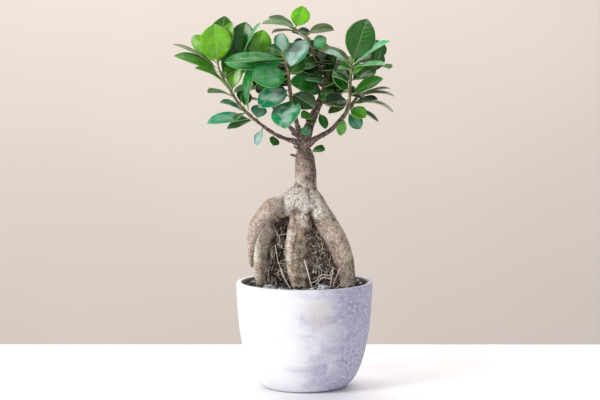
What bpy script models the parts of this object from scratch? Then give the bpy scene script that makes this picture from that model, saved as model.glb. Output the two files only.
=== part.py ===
"""A ginseng fig bonsai: a small tree on thick bare roots, planted in a plain round pot.

Blender 4.5, metres, +Z up. The origin is the centre of the pot's flat base, and the front of
the tree faces -Y. The tables hold millimetres, and the tree's heights are measured from the
plane of the pot's rim, so the tree rises and sinks with the rim.
"""

import math

import bmesh
import bpy
from mathutils import Vector, noise

MM = 0.001

# Pot
POT_HEIGHT = 109.0
POT_RIM_RADIUS = 70.0
POT_BASE_RADIUS = 38.0
POT_WALL = 6.0
POT_FLOOR = 9.0
POT_SEGMENTS = 44
MOUTH_RADIUS = POT_RIM_RADIUS - POT_WALL

# Soil
SOIL_EDGE_DEPTH = 8.5  # from the rim down to the soil at the wall
SOIL_MOUND = 6.0  # rise of the soil from the wall to the middle
SOIL_BUMP = 0.9
SOIL_RINGS = 8

# Tree
TREE_SCALE = 1.0  # grows the roots, stems and leaves together
ROOT_STANCE = 64.0  # mouth radius that the root tables are drawn for
ROOT_SOIL_DEPTH = 8.5  # soil depth that they are drawn for
HIP_HEIGHT = 80.0  # where the legs leave the trunk
LIMB_SIDES = 12
STEM_SIDES = 6

# Leaves
LEAF_THICKNESS = 0.8
LEAF_FOLD = 0.22  # rise of the rims over the midrib, as a share of the half width
MIDRIB_DEPTH = 0.5
PETIOLE_RADIUS = 0.8
PETIOLE_LENGTH = 5.0
BLADE_STATIONS = (0.08, 0.24, 0.42, 0.60, 0.78, 0.92)

# Gap between pieces that rest on or grow from one another
SEAT_GAP = 0.35
TRIM_GAP = 0.5  # for a piece that is cut to its neighbour's shape

# The limbs run through points (x, y, height, radius). Together they are one grown trunk.
TRUNK_LIMBS = {
    "stem": [(0, 2, 74, 16), (1, 2, 88, 12.6), (1.5, 1, 97, 10.6), (1.4, 0, 108, 10.9),
             (0.6, 0, 120, 10.2), (0.4, 0, 129, 9.0), (-1.2, 0, 137, 6.2), (-2, 0, 145, 5.2),
             (-2.5, 0, 152, 5.8)],
    "left_shoulder": [(0, 0, 90, 11), (-10, -2, 86, 12.3), (-17, -2, 79.5, 11.8), (-19, 0, 73, 8)],
    "left_leg": [(-14, 1, 78, 9), (-25, 2, 69.5, 6.8), (-33, 3, 60, 6.4), (-40.5, 4, 48, 7.2),
                 (-44.5, 5, 33, 6.6), (-45, 6, 14, 5.4), (-44.5, 8, 1, 4.5), (-44, 8, -15, 3.6)],
    "finger_root": [(-20, -7, 79, 5.6), (-28.5, -14, 83, 6), (-36, -18, 77.5, 6.3),
                    (-44, -19, 69.5, 6.1), (-50, -19, 62, 4.8), (-53.5, -18, 53, 3.3),
                    (-54.3, -17, 43, 2.3), (-53.5, -16, 31, 1.7)],
    "centre_front_leg": [(-7, -5, 80, 10), (-8.5, -10, 66, 7), (-10, -13, 56, 7.2),
                         (-11, -14, 42, 7.6), (-11.5, -15, 25, 7.2), (-10, -18, 11, 6.6),
                         (-7, -23, -3, 5.6), (-5, -25, -16, 4.6)],
    "centre_rear_leg": [(2, -2, 78, 10.5), (1, -4, 66, 7.4), (1.5, -5, 56, 7.8),
                        (2, -6, 42, 8.2), (1.5, -8, 25, 7.8), (0, -12, 11, 6.8),
                        (-1.5, -17, -3, 5.6), (-2, -18, -16, 4.6)],
    "right_leg": [(-2, 0, 88, 9), (6, -3, 80, 11.2), (17, -6, 68, 11.7), (26.5, -8, 53, 11.8),
                  (33.5, -9, 40.5, 11.2), (39.5, -10, 26, 10.2), (42.8, -10, 12.5, 8.8),
                  (44, -10, 1, 8), (44, -10, -15, 6.4)],
    "back_left_leg": [(-5, 6, 80, 10), (-19, 17, 64, 9.4), (-28, 27, 42, 8.2), (-33, 32, 15, 7.2),
                      (-33, 33, -15, 5.6)],
    "back_right_leg": [(4, 6, 80, 10), (17, 17, 62, 10), (26, 27, 40, 9.0), (30, 32, 14, 7.8),
                       (31, 33, -15, 6.2)],
    "back_leg": [(0, 8, 78, 11), (-2, 22, 54, 7.6), (-3, 34, 26, 6.4), (-3, 38, 4, 5.8),
                 (-2, 38, -15, 4.8)],
}
TRUNK_VOXEL = 1.7
TRUNK_KEEP = 0.085  # share of the voxel skin's faces that is kept

# Each stem starts inside what carries it and is trimmed where it leaves it.
STEMS = {
    "branch_left": (("trunk",), [
        (-3, -1, 141, 3.2), (-10, -3, 144, 2.9), (-28, -8, 151, 2.4), (-44, -12, 162, 2.2),
        (-59, -16, 175, 2.1), (-69, -18, 187, 1.9), (-76.5, -20, 200, 1.7), (-82, -21, 209, 1.5),
        (-86, -22, 218, 1.3), (-88, -22, 227, 1.0)]),
    "branch_centre": (("trunk",), [
        (-3, -1, 146, 3.2), (-7, -8, 160, 2.8), (-12, -16, 180, 2.4), (-14.7, -20, 197, 2.1),
        (-16.3, -22, 213, 1.9), (-19.4, -21, 228, 1.5), (-22, -18, 236, 1.2)]),
    "branch_main": (("trunk",), [
        (-1, 1, 144, 4.8), (5, 3, 160, 4.6), (12, 6, 177, 4.2), (19, 8, 193, 3.6),
        (22, 9, 209, 3.0), (20, 10, 224, 2.0)]),
    "branch_right": (("trunk", "branch_main"), [
        (0, -3, 138, 3.8), (10, -6, 146.5, 3.3), (25, -9, 155, 2.9), (35, -11, 165, 2.7),
        (42.5, -13, 175, 2.5), (45.5, -14, 188, 2.1), (46.4, -14, 204, 1.8),
        (47.5, -14, 220, 1.4), (48, -14, 228, 1.1)]),
    "branch_back_left": (("trunk",), [
        (-2, 1, 146, 3.0), (-16, 16, 159, 2.5), (-31, 31, 176, 2.0), (-43, 42, 194, 1.6),
        (-50, 46, 212, 1.1)]),
    "twig_far_right": (("branch_right",), [
        (42.5, -13, 175, 2.1), (51, -8, 186, 1.8), (57, -4, 195, 1.6), (66, 0, 207, 1.4),
        (72, 3, 218, 1.2), (75, 4, 227, 1.0)]),
    "twig_top": (("branch_main",), [
        (22, 9, 208, 2.1), (14, 4, 222, 1.8), (7, -2, 237, 1.6), (2.5, -5, 251, 1.4),
        (-13, -8, 260, 1.0)]),
    "twig_upper_left": (("branch_centre",), [
        (-15.5, -21, 204, 1.9), (-30, -17, 213, 1.7), (-45, -12, 219, 1.5), (-58, -9, 224, 1.3),
        (-68, -8, 230, 1.0)]),
    "twig_back_right": (("branch_main",), [
        (14, 6.5, 181, 2.6), (26, 20, 191, 2.2), (38, 34, 204, 1.8), (46, 44, 220, 1.1)]),
    "twig_back": (("branch_main",), [
        (20, 8.5, 198, 2.2), (12, 22, 208, 1.9), (5, 36, 220, 1.6), (-2, 46, 234, 1.1)]),
}

# Each leaf: the stem it grows on, the height where it leaves the stem, its tip (x, y, height),
# the way its upper side looks, its width, and how far it bows from stalk to tip in degrees.
LEAVES = {
    "leaf_left_1": ("branch_left", 178, (-85, -30, 185), (0.1, -0.35, 0.95), 16, 30),
    "leaf_left_2": ("branch_left", 170, (-98, -32, 164), (-0.2, -0.55, 0.8), 18, 35),
    "leaf_left_3": ("branch_left", 160, (-48, -18, 141), (-0.75, -0.6, 0.25), 12, 30),
    "leaf_left_4": ("branch_left", 175, (-50, -28, 224), (-0.8, -0.5, 0.2), 16, 40),
    "leaf_left_5": ("branch_left", 198, (-109, -50, 220), (0.3, -0.3, 0.9), 18, 40),
    "leaf_left_6": ("branch_left", 216, (-131, -34, 232), (0.1, -0.5, 0.85), 17, 30),
    "leaf_left_7": ("branch_left", 220, (-133, -18, 244), (0.2, -0.1, 1.0), 16, 25),
    "leaf_left_8": ("branch_left", 225, (-114, 14, 252), (-0.5, -0.5, 0.7), 14, 35),
    "leaf_left_9": ("branch_left", 226, (-90, -32, 264), (-0.1, -0.95, 0.3), 28, 25),
    "leaf_left_10": ("branch_left", 226, (-81, -6, 272), (-0.4, -0.9, 0.1), 25, 15),
    "leaf_centre_1": ("branch_centre", 214, (-52, -44, 209), (0.1, -0.85, 0.5), 27, 25),
    "leaf_centre_2": ("branch_centre", 198, (-46, -40, 181), (-0.2, -0.85, 0.5), 22, 35),
    "leaf_centre_3": ("branch_centre", 188, (-19, -50, 160), (-0.35, -0.9, 0.3), 28, 35),
    "leaf_centre_4": ("branch_centre", 229, (-80, -46, 226), (0.0, -0.5, 0.87), 17, 25),
    "leaf_centre_5": ("branch_centre", 234, (-22, -28, 255), (-0.5, -0.8, 0.2), 17, 30),
    "leaf_centre_6": ("branch_centre", 194, (10, -40, 180), (-0.1, -0.85, 0.5), 19, 25),
    "leaf_main_1": ("branch_main", 195, (-15, -28, 205), (0.2, -0.85, 0.5), 21, 30),
    "leaf_top_1": ("twig_top", 258.5, (-1.5, -13, 282), (0.4, -0.9, 0.2), 18, 20),
    "leaf_top_2": ("twig_top", 258, (-37, 8, 271), (0.1, -0.5, 0.85), 12, 30),
    "leaf_top_3": ("twig_top", 257, (-43, -22, 264), (0.0, -0.35, 0.9), 15, 45),
    "leaf_top_4": ("twig_top", 252, (30, -10, 258), (-0.1, -0.6, 0.8), 14, 60),
    "leaf_top_5": ("twig_top", 250, (-14, -34, 222), (-0.35, -0.9, 0.35), 21, 25),
    "leaf_upper_left_1": ("twig_upper_left", 229, (-60, -2, 266), (-0.2, -0.95, 0.1), 21, 15),
    "leaf_upper_left_2": ("twig_upper_left", 221, (-42, -2, 258), (0.0, -0.98, 0.1), 21, 15),
    "leaf_upper_left_3": ("twig_upper_left", 227, (-44, -36, 265), (-0.6, -0.3, 0.6), 14, 25),
    "leaf_right_1": ("branch_right", 226, (63, -24, 269), (-0.1, -0.95, 0.2), 27, 15),
    "leaf_right_2": ("branch_right", 222.5, (85, -38, 247), (-0.4, -0.4, 0.85), 15, 20),
    "leaf_right_3": ("branch_right", 219, (81, -34, 223), (0.0, -0.3, 0.95), 15, 30),
    "leaf_right_4": ("branch_right", 222, (21, -30, 236), (0.1, -0.4, 0.9), 16, 35),
    "leaf_right_5": ("branch_right", 203, (29, -38, 212), (0.0, -0.6, 0.8), 18, 30),
    "leaf_right_6": ("branch_right", 187, (21, -34, 184), (0.0, -0.75, 0.65), 19, 25),
    "leaf_right_7": ("branch_right", 193, (79, -24, 209), (0.1, -0.6, 0.8), 17, 20),
    "leaf_far_right_1": ("twig_far_right", 223, (73, 12, 248), (0.2, -0.9, 0.2), 20, 20),
    "leaf_far_right_2": ("twig_far_right", 192, (91, -12, 191), (0.0, -0.15, 1.0), 14, 45),
    "leaf_far_right_3": ("twig_far_right", 184, (90, -20, 175), (0.15, -0.1, 1.0), 14, 60),
    "leaf_back_left_1": ("branch_back_left", 208, (-86, 58, 220), (-0.2, 0.4, 0.9), 21, 35),
    "leaf_back_left_2": ("branch_back_left", 211, (-60, 78, 238), (0.2, 0.8, 0.6), 22, 30),
    "leaf_back_right_1": ("twig_back_right", 217, (78, 62, 230), (0.2, 0.4, 0.9), 21, 35),
    "leaf_back_right_2": ("twig_back_right", 219, (44, 74, 230), (0.0, 0.8, 0.6), 22, 25),
    "leaf_back_1": ("twig_back", 232, (-22, 74, 238), (0.0, 0.6, 0.8), 22, 30),
    "leaf_back_2": ("twig_back", 233, (10, 72, 241), (0.3, 0.6, 0.7), 20, 25),
}
# The one leaf that grows straight from the trunk starts inside it: start, tip, face, width, bow
TRUNK_LEAF = ((3, -1, 130), (21, -9, 136), (-0.1, -0.5, 0.85), 12, 75)

# Masses of fine roots in the arches between the legs, and one bare root across the front
FINE_ROOTS = {
    "fine_roots_left": [(-21, -1, 60, 4), (-25, -1, 46, 7.5), (-28, 0, 22, 9.5),
                        (-28, 0, 2, 10.5), (-28, 0, -8, 10)],
    "fine_roots_right": [(12, 2, 54, 3.5), (15, 2, 40, 6.5), (19, 2, 22, 9.5),
                         (21, 0, 2, 10.5), (21, 0, -8, 10)],
}
AERIAL_ROOT = [(-4, -16, 35, 1.2), (-2, -23.5, 30, 1.1), (2, -27, 20, 1.0), (6, -31, 8, 0.9),
               (8, -33, -2, 0.8), (9, -34, -11, 0.8)]

# Pebbles on the soil: x, y, radius
PEBBLES = {"pebble_left": (-36, -38, 5.6), "pebble_right": (18, -42, 6.4)}
PEBBLE_SINK = 0.35  # share of its radius that a pebble sits below the soil

# Colour, roughness
FINISHES = {
    "pot": ((0.70, 0.69, 0.74), 0.75),
    "soil": ((0.035, 0.027, 0.022), 0.95),
    "bark": ((0.30, 0.23, 0.16), 0.80),
    "young_bark": ((0.22, 0.20, 0.09), 0.70),
    "leaf": ((0.045, 0.20, 0.055), 0.38),
    "pebble": ((0.36, 0.37, 0.40), 0.85),
    "fine_roots": ((0.34, 0.25, 0.16), 0.90),
}


def clear_scene():
    for old in list(bpy.data.objects):
        bpy.data.objects.remove(old)


def material(name):
    made = bpy.data.materials.get(name)
    if made is None:
        colour, roughness = FINISHES[name]
        made = bpy.data.materials.new(name)
        made.use_nodes = True
        shader = made.node_tree.nodes["Principled BSDF"]
        shader.inputs["Base Color"].default_value = (*colour, 1)
        shader.inputs["Roughness"].default_value = roughness
        shader.inputs["Metallic"].default_value = 0
    return made


def add_object(name, mesh):
    made = bpy.data.objects.new(name, mesh)
    bpy.context.scene.collection.objects.link(made)
    return made


def paint(obj, finish):
    obj.data.materials.clear()
    obj.data.materials.append(material(finish))
    obj.data.shade_smooth()
    obj.data.set_sharp_from_angle(angle=math.radians(50))
    return obj


def apply_modifiers(obj):
    """Replace the object's mesh with what its modifiers make of it."""
    bpy.context.view_layer.update()
    graph = bpy.context.evaluated_depsgraph_get()
    obj.data = bpy.data.meshes.new_from_object(obj.evaluated_get(graph))
    obj.modifiers.clear()
    return obj


def keep_largest_body(obj):
    """Drop the chips that a cut can leave, even those that touch the piece along an edge."""
    shell = bmesh.new()
    shell.from_mesh(obj.data)
    bmesh.ops.triangulate(shell, faces=shell.faces)
    waiting = set(shell.faces)
    bodies = []
    while waiting:
        body = {waiting.pop()}
        edge_of_body = list(body)
        while edge_of_body:
            face = edge_of_body.pop()
            shared = [edge for edge in face.edges if edge.is_manifold]
            beside = {other for edge in shared for other in edge.link_faces}
            reached = beside & waiting
            waiting -= reached
            body |= reached
            edge_of_body += reached
        bodies.append(body)
    bodies.sort(key=len)
    for chip in bodies[:-1]:
        bmesh.ops.delete(shell, geom=list(chip), context="FACES")
    shell.to_mesh(obj.data)
    shell.free()


def swollen_copy(obj, gap):
    """A hidden cutter in the shape of the object, larger all round by the gap."""
    cutter = add_object("cutter_" + obj.name, obj.data.copy())
    swell = cutter.modifiers.new("swell", "DISPLACE")
    swell.strength = gap * MM
    swell.mid_level = 0
    cutter.hide_render = True
    cutter.display_type = "WIRE"
    return apply_modifiers(cutter)


def trim(obj, neighbours):
    """Cut the object back to a gap from each neighbour."""
    for neighbour in neighbours:
        cutter = swollen_copy(neighbour, TRIM_GAP)
        cut = obj.modifiers.new("trim", "BOOLEAN")
        cut.operation = "DIFFERENCE"
        cut.solver = "EXACT"
        cut.object = cutter
        apply_modifiers(obj)
        bpy.data.objects.remove(cutter)
    keep_largest_body(obj)


def loft(name, rings, start=None, end=None):
    """A closed skin over rings of points in millimetres. An end is a point, or its ring filled in."""
    skin = bmesh.new()
    rows = [[skin.verts.new(point * MM) for point in ring] for ring in rings]
    for row, after in zip(rows, rows[1:]):
        for i in range(len(row)):
            j = (i + 1) % len(row)
            skin.faces.new((row[i], row[j], after[j], after[i]))
    for row, point in ((rows[0], start), (rows[-1], end)):
        if point is None:
            skin.faces.new(row)
            continue
        pole = skin.verts.new(point * MM)
        for i in range(len(row)):
            skin.faces.new((row[i], row[(i + 1) % len(row)], pole))
    bmesh.ops.recalc_face_normals(skin, faces=skin.faces)
    mesh = bpy.data.meshes.new(name)
    skin.to_mesh(mesh)
    skin.free()
    return mesh


def circle(radius, z):
    """A level ring of points round the pot's axis."""
    corners = [math.tau * i / POT_SEGMENTS for i in range(POT_SEGMENTS)]
    return [Vector((radius * math.cos(a), radius * math.sin(a), z)) for a in corners]


def in_pot(x, y, height):
    """A point of the tree in the pot. Low points move in where the mouth is narrow, and points
    under the rim go down with the soil."""
    narrow = min(1, MOUTH_RADIUS / (ROOT_STANCE * TREE_SCALE))
    low = min(max(1 - height / HIP_HEIGHT, 0), 1)
    spread = TREE_SCALE * (1 - low + low * narrow)
    grow = SOIL_EDGE_DEPTH / ROOT_SOIL_DEPTH if height < 0 else TREE_SCALE
    return Vector((x * spread, y * spread, POT_HEIGHT + height * grow))


def smooth_line(rows, steps=2):
    """(point, radius) along a Catmull-Rom curve through the rows (x, y, height, radius)."""
    keys = [Vector(row) for row in rows]
    keys = [2 * keys[0] - keys[1], *keys, 2 * keys[-1] - keys[-2]]
    found = []
    for a, b, c, d in zip(keys, keys[1:], keys[2:], keys[3:]):
        for step in range(steps):
            t = step / steps
            at = 0.5 * (2 * b + (c - a) * t + (2 * a - 5 * b + 4 * c - d) * t**2
                        + (3 * b - a - 3 * c + d) * t**3)
            found.append((in_pot(*at[:3]), at[3] * TREE_SCALE))
    found.append((in_pot(*rows[-1][:3]), rows[-1][3] * TREE_SCALE))
    return found


def tube(name, line, sides):
    """A round limb along the line, its rings turned as little as possible from one to the next."""
    points = [point for point, _ in line]
    across = Vector((0, 1, 0))
    rings = []
    for i, (point, radius) in enumerate(line):
        ahead = (points[min(i + 1, len(line) - 1)] - points[max(i - 1, 0)]).normalized()
        across = (across - across.dot(ahead) * ahead).normalized()
        beside = ahead.cross(across)
        ring = []
        for side in range(sides):
            angle = math.tau * side / sides
            ring.append(point + radius * (math.cos(angle) * across + math.sin(angle) * beside))
        rings.append(ring)
    return loft(name, rings)


def outer_wall(share):
    """Radius and height of the pot's outside, from the base at 0 to the rim at 1."""
    corners = ((POT_BASE_RADIUS, 0.0), (POT_RIM_RADIUS * 0.83, POT_HEIGHT * 0.037),
               (POT_RIM_RADIUS * 0.985, POT_HEIGHT * 0.41), (POT_RIM_RADIUS, POT_HEIGHT))
    weights = ((1 - share) ** 3, 3 * share * (1 - share) ** 2, 3 * share**2 * (1 - share),
               share**3)
    return Vector([sum(w * c[i] for w, c in zip(weights, corners)) for i in (0, 1)])


def inner_wall(inset):
    """Points down the inside of the pot, this far in from the outside, to a flat floor."""
    floor = POT_FLOOR + inset - POT_WALL
    found = []
    for share in (0.94, 0.84, 0.72, 0.60, 0.50, 0.40, 0.30, 0.20):
        here = outer_wall(share)
        ahead = (outer_wall(share + 0.01) - here).normalized()
        point = here + inset * Vector((-ahead.y, ahead.x))
        if point.y > floor + 2:
            found.append((point.x, point.y))
    found.append((found[-1][0] - 5, floor))
    return found


def make_pot():
    outside = [tuple(outer_wall(share)) for share in (0, 0.08, 0.18, 0.30, 0.44, 0.60, 0.78, 0.96)]
    lip = POT_WALL * 0.25
    rim = [(POT_RIM_RADIUS, POT_HEIGHT - lip), (POT_RIM_RADIUS - lip, POT_HEIGHT),
           (MOUTH_RADIUS + lip, POT_HEIGHT), (MOUTH_RADIUS, POT_HEIGHT - lip)]
    rings = [circle(radius, z) for radius, z in [*outside, *rim, *inner_wall(POT_WALL)]]
    mesh = loft("pot", rings, start=Vector((0, 0, 0)), end=Vector((0, 0, POT_FLOOR)))
    return paint(add_object("pot", mesh), "pot")


def soil_height(x, y):
    """Top of the soil: a low mound with crumbs."""
    out = math.hypot(x, y) / MOUTH_RADIUS
    crumbs = noise.noise(Vector((x, y, 0)) / 9) + 0.6 * noise.noise(Vector((x, y, 40)) / 4)
    return POT_HEIGHT - SOIL_EDGE_DEPTH + SOIL_MOUND * (1 - out**2) + SOIL_BUMP * crumbs


def make_soil():
    edge = POT_HEIGHT - SOIL_EDGE_DEPTH
    wall = [point for point in inner_wall(POT_WALL + SEAT_GAP) if point[1] < edge - 3]
    wall.reverse()
    rings = [circle(radius, z) for radius, z in wall]
    for step in range(SOIL_RINGS):
        ring = circle(wall[-1][0] * (1 - step / SOIL_RINGS), edge)
        for point in ring:
            point.z = soil_height(point.x, point.y)
        rings.append(ring)
    mesh = loft("soil", rings, Vector((0, 0, wall[0][1])), Vector((0, 0, soil_height(0, 0))))
    return paint(add_object("soil", mesh), "soil")


def make_trunk():
    skin = bmesh.new()
    for name, rows in TRUNK_LIMBS.items():
        skin.from_mesh(tube(name, smooth_line(rows, 3), LIMB_SIDES))
    mesh = bpy.data.meshes.new("trunk")
    skin.to_mesh(mesh)
    skin.free()
    trunk = add_object("trunk", mesh)
    fuse = trunk.modifiers.new("fuse", "REMESH")
    fuse.mode = "VOXEL"
    fuse.voxel_size = TRUNK_VOXEL * MM
    soften = trunk.modifiers.new("soften", "SMOOTH")
    soften.factor = 0.5
    soften.iterations = 4
    thin = trunk.modifiers.new("thin", "DECIMATE")
    thin.ratio = TRUNK_KEEP
    apply_modifiers(trunk)
    keep_largest_body(trunk)
    return paint(trunk, "bark")


def make_stems(trunk):
    """The branches and twigs, each with the line it follows."""
    grown = {"trunk": trunk}
    lines = {}
    for name, (carriers, rows) in STEMS.items():
        lines[name] = smooth_line(rows)
        stem = add_object(name, tube(name, lines[name], STEM_SIDES))
        trim(stem, [grown[carrier] for carrier in carriers])
        grown[name] = paint(stem, "young_bark")
    return grown, lines


def line_at_height(line, height):
    """Where a rising line passes a height: the point, the radius, and the way the line runs."""
    for (low, low_radius), (high, high_radius) in zip(line, line[1:]):
        if low.z <= height <= high.z:
            share = (height - low.z) / (high.z - low.z)
            radius = low_radius + (high_radius - low_radius) * share
            return low.lerp(high, share), radius, (high - low).normalized()
    raise ValueError(f"no part of the stem is {height:.0f} mm high")


def arc_frame(start, tip, face, bow, share):
    """On an arc from start to tip that bulges towards face: point, way ahead, way up."""
    chord = tip - start
    ahead = chord.normalized()
    up = (face - face.dot(ahead) * ahead).normalized()
    half = math.radians(bow) / 2
    radius = chord.length / (2 * math.sin(half))
    turn = half * (2 * share - 1)
    point = (start + tip) / 2 + radius * math.sin(turn) * ahead
    point += radius * (math.cos(turn) - math.cos(half)) * up
    along = math.cos(turn) * ahead - math.sin(turn) * up
    return point, along, math.sin(turn) * ahead + math.cos(turn) * up


def leaf_start(line, height, tip, face, bow):
    """Where the stalk meets the side of its stem, a seat's gap away from it."""
    centre, radius, ahead = line_at_height(line, height)
    along = arc_frame(centre, tip, face, bow, 0)[1]
    outward = (along - along.dot(ahead) * ahead).normalized()
    tilt = math.sin(along.angle(outward))
    return centre + (radius + SEAT_GAP + PETIOLE_RADIUS * TREE_SCALE * tilt) * outward


def blade_section(half_width):
    """(across, up) of the eight corners of a blade's section, thin at its two rims."""
    rim = LEAF_FOLD * half_width
    mid = 0.4 * rim
    skin = LEAF_THICKNESS / 2
    return [(half_width, rim), (half_width / 2, mid + skin), (0, skin),
            (-half_width / 2, mid + skin), (-half_width, rim), (-half_width / 2, mid - skin),
            (0, -skin - MIDRIB_DEPTH), (half_width / 2, mid - skin)]


def stalk_section():
    radius = PETIOLE_RADIUS * TREE_SCALE
    corners = [math.tau * i / 8 for i in range(8)]
    return [(radius * math.cos(angle), radius * math.sin(angle)) for angle in corners]


def make_leaf(name, start, tip, face, width, bow):
    stalk = PETIOLE_LENGTH * TREE_SCALE / (tip - start).length
    sections = [(0, stalk_section()), (stalk * 0.8, stalk_section())]
    for station in BLADE_STATIONS:
        bulge = math.sin(math.pi * station**1.2) ** 0.75
        sections.append((stalk + (1 - stalk) * station, blade_section(width / 2 * bulge)))
    rings = []
    for share, section in sections:
        point, along, up = arc_frame(start, tip, face, bow, share)
        across = along.cross(up)
        rings.append([point + side * across + rise * up for side, rise in section])
    return paint(add_object(name, loft(name, rings, end=tip)), "leaf")


def make_leaves(trunk, lines):
    for name, (stem, height, tip, face, width, bow) in LEAVES.items():
        tip = in_pot(*tip)
        face = Vector(face)
        level = in_pot(0, 0, height).z
        start = leaf_start(lines[stem], level, tip, face, bow)
        make_leaf(name, start, tip, face, width * TREE_SCALE, bow)
    start, tip, face, width, bow = TRUNK_LEAF
    leaf = make_leaf("leaf_trunk", in_pot(*start), in_pot(*tip), Vector(face), width * TREE_SCALE,
                     bow)
    trim(leaf, [trunk])


def make_fine_roots(trunk):
    made = []
    for name, rows in FINE_ROOTS.items():
        mass = add_object(name, tube(name, smooth_line(rows), 10))
        trim(mass, [trunk])
        made.append(paint(mass, "fine_roots"))
    root = add_object("aerial_root", tube("aerial_root", smooth_line(AERIAL_ROOT), STEM_SIDES))
    trim(root, [trunk])
    return [*made, paint(root, "fine_roots")]


def make_pebbles():
    made = []
    stance = MOUTH_RADIUS / ROOT_STANCE
    for name, (x, y, radius) in PEBBLES.items():
        centre = Vector((x * stance, y * stance, 0))
        centre.z = soil_height(centre.x, centre.y) + radius * (1 - PEBBLE_SINK) * 0.7
        shell = bmesh.new()
        bmesh.ops.create_icosphere(shell, subdivisions=2, radius=1)
        for vert in shell.verts:
            lump = 1 + 0.18 * noise.noise(vert.co * 1.3 + centre)
            shape = Vector((vert.co.x * 1.15, vert.co.y * 0.95, vert.co.z * 0.7))
            vert.co = (centre + radius * lump * shape) * MM
        mesh = bpy.data.meshes.new(name)
        shell.to_mesh(mesh)
        shell.free()
        made.append(paint(add_object(name, mesh), "pebble"))
    return made


def build():
    clear_scene()
    make_pot()
    trunk = make_trunk()
    _, lines = make_stems(trunk)
    make_leaves(trunk, lines)
    roots = make_fine_roots(trunk)
    pebbles = make_pebbles()
    soil = make_soil()
    trim(soil, [trunk, *roots, *pebbles])
    paint(soil, "soil")


build()
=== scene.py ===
import math
import random
from functools import partial

import bpy
import numpy as np
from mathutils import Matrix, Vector, noise


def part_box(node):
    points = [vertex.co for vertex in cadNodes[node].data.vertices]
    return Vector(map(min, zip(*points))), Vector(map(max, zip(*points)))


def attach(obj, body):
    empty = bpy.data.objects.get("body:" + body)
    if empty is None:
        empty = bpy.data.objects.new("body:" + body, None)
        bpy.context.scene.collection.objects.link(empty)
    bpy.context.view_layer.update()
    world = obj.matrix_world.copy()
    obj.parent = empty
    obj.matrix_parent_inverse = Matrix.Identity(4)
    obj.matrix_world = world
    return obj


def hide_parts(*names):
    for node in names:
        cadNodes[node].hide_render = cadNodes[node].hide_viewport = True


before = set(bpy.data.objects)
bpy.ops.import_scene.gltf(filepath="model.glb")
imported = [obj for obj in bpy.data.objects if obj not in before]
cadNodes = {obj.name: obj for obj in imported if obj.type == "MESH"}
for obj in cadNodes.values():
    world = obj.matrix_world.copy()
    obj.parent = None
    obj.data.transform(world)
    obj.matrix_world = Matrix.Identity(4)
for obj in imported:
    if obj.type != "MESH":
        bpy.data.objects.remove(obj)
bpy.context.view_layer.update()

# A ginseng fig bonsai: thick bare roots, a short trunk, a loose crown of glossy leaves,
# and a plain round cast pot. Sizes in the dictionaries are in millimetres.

mm = 0.001
scene = bpy.context.scene


# small tools

def linear(hexColour):
    # sRGB hex to the linear numbers that shaders take
    parts = [int(hexColour[i:i + 2], 16) / 255 for i in (1, 3, 5)]
    return [c / 12.92 if c <= 0.04045 else ((c + 0.055) / 1.055) ** 2.4 for c in parts] + [1]


def connect(finish, socket, value):
    # sets a plain value, or links an output; a node stands for its first output in use
    if isinstance(value, bpy.types.Node):
        value = next(output for output in value.outputs if output.enabled)
    if isinstance(value, bpy.types.NodeSocket):
        finish.node_tree.links.new(value, socket)
    else:
        socket.default_value = value


wayNames = {"Mix": "blend_type", "MapRange": "interpolation_type"}


def addNode(finish, kind, *values, stops=(), **named):
    # One shader node. A second word of its kind is the way it works, such as MULTIPLY.
    # Values fill its inputs in order. A name is an input, without its spaces, or a setting.
    kind, _, way = kind.partition(" ")
    node = finish.node_tree.nodes.new("ShaderNode" + kind)
    if kind == "Mix":
        node.data_type = "RGBA"
    if way:
        setattr(node, wayNames.get(kind, "operation"), way)
    for name, value in named.items():
        if name[0].islower():
            setattr(node, name, value)
    sockets = [socket for socket in node.inputs if socket.enabled]
    for socket, value in zip(sockets, values):
        connect(finish, socket, value)
    for socket in sockets:
        if socket.name.replace(" ", "") in named:
            connect(finish, socket, named[socket.name.replace(" ", "")])
    if stops:
        ramp = node.color_ramp.elements
        ramp[0].position = stops[0][0]
        ramp[1].position = stops[-1][0]
        for place, _ in stops[1:-1]:
            ramp.new(place)
        for element, (_, colour) in zip(ramp, stops):
            element.color = linear(colour)
    return node


def newFinish(name, roughness, ior=1.5, **constants):
    # a material whose even values sit on the shader's own sockets, and what adds its nodes
    finish = bpy.data.materials.new(name)
    finish.use_nodes = True
    shader = finish.node_tree.nodes["Principled BSDF"]
    shader.inputs["Roughness"].default_value = roughness
    shader.inputs["IOR"].default_value = ior
    for key, value in constants.items():
        shader.inputs[key.replace("_", " ")].default_value = value
    return finish, shader, partial(addNode, finish)


def select(*objects):
    bpy.ops.object.select_all(action="DESELECT")
    for obj in objects:
        obj.select_set(True)
    bpy.context.view_layer.objects.active = objects[0]


def newPiece(name, mesh):
    piece = bpy.data.objects.new(name, mesh)
    scene.collection.objects.link(piece)
    return piece


def copyOfNode(node, name):
    # a CAD node's mesh is loose triangles, so its copy is merged first
    piece = newPiece(name, cadNodes[node].data.copy())
    piece.data.materials.clear()
    select(piece)
    bpy.ops.object.mode_set(mode="EDIT")
    bpy.ops.mesh.select_all(action="SELECT")
    bpy.ops.mesh.remove_doubles(threshold=0.00001)
    bpy.ops.object.mode_set(mode="OBJECT")
    return piece


def addModifier(piece, kind, **settings):
    modifier = piece.modifiers.new(kind.lower(), kind)
    for key, value in settings.items():
        setattr(modifier, key, value)
    select(piece)
    bpy.ops.object.modifier_apply(modifier=modifier.name)


def finishPiece(piece, finishes, slot, *replaced):
    for finish in finishes:
        if finish.name not in piece.data.materials:
            piece.data.materials.append(finish)
    select(piece)
    bpy.ops.object.shade_smooth()
    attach(piece, "root")
    if replaced:
        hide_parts(*replaced)
    return piece


def setPoints(mesh, points):
    mesh.vertices.foreach_set("co", np.asarray(points, np.float32).ravel())
    mesh.update()


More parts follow.
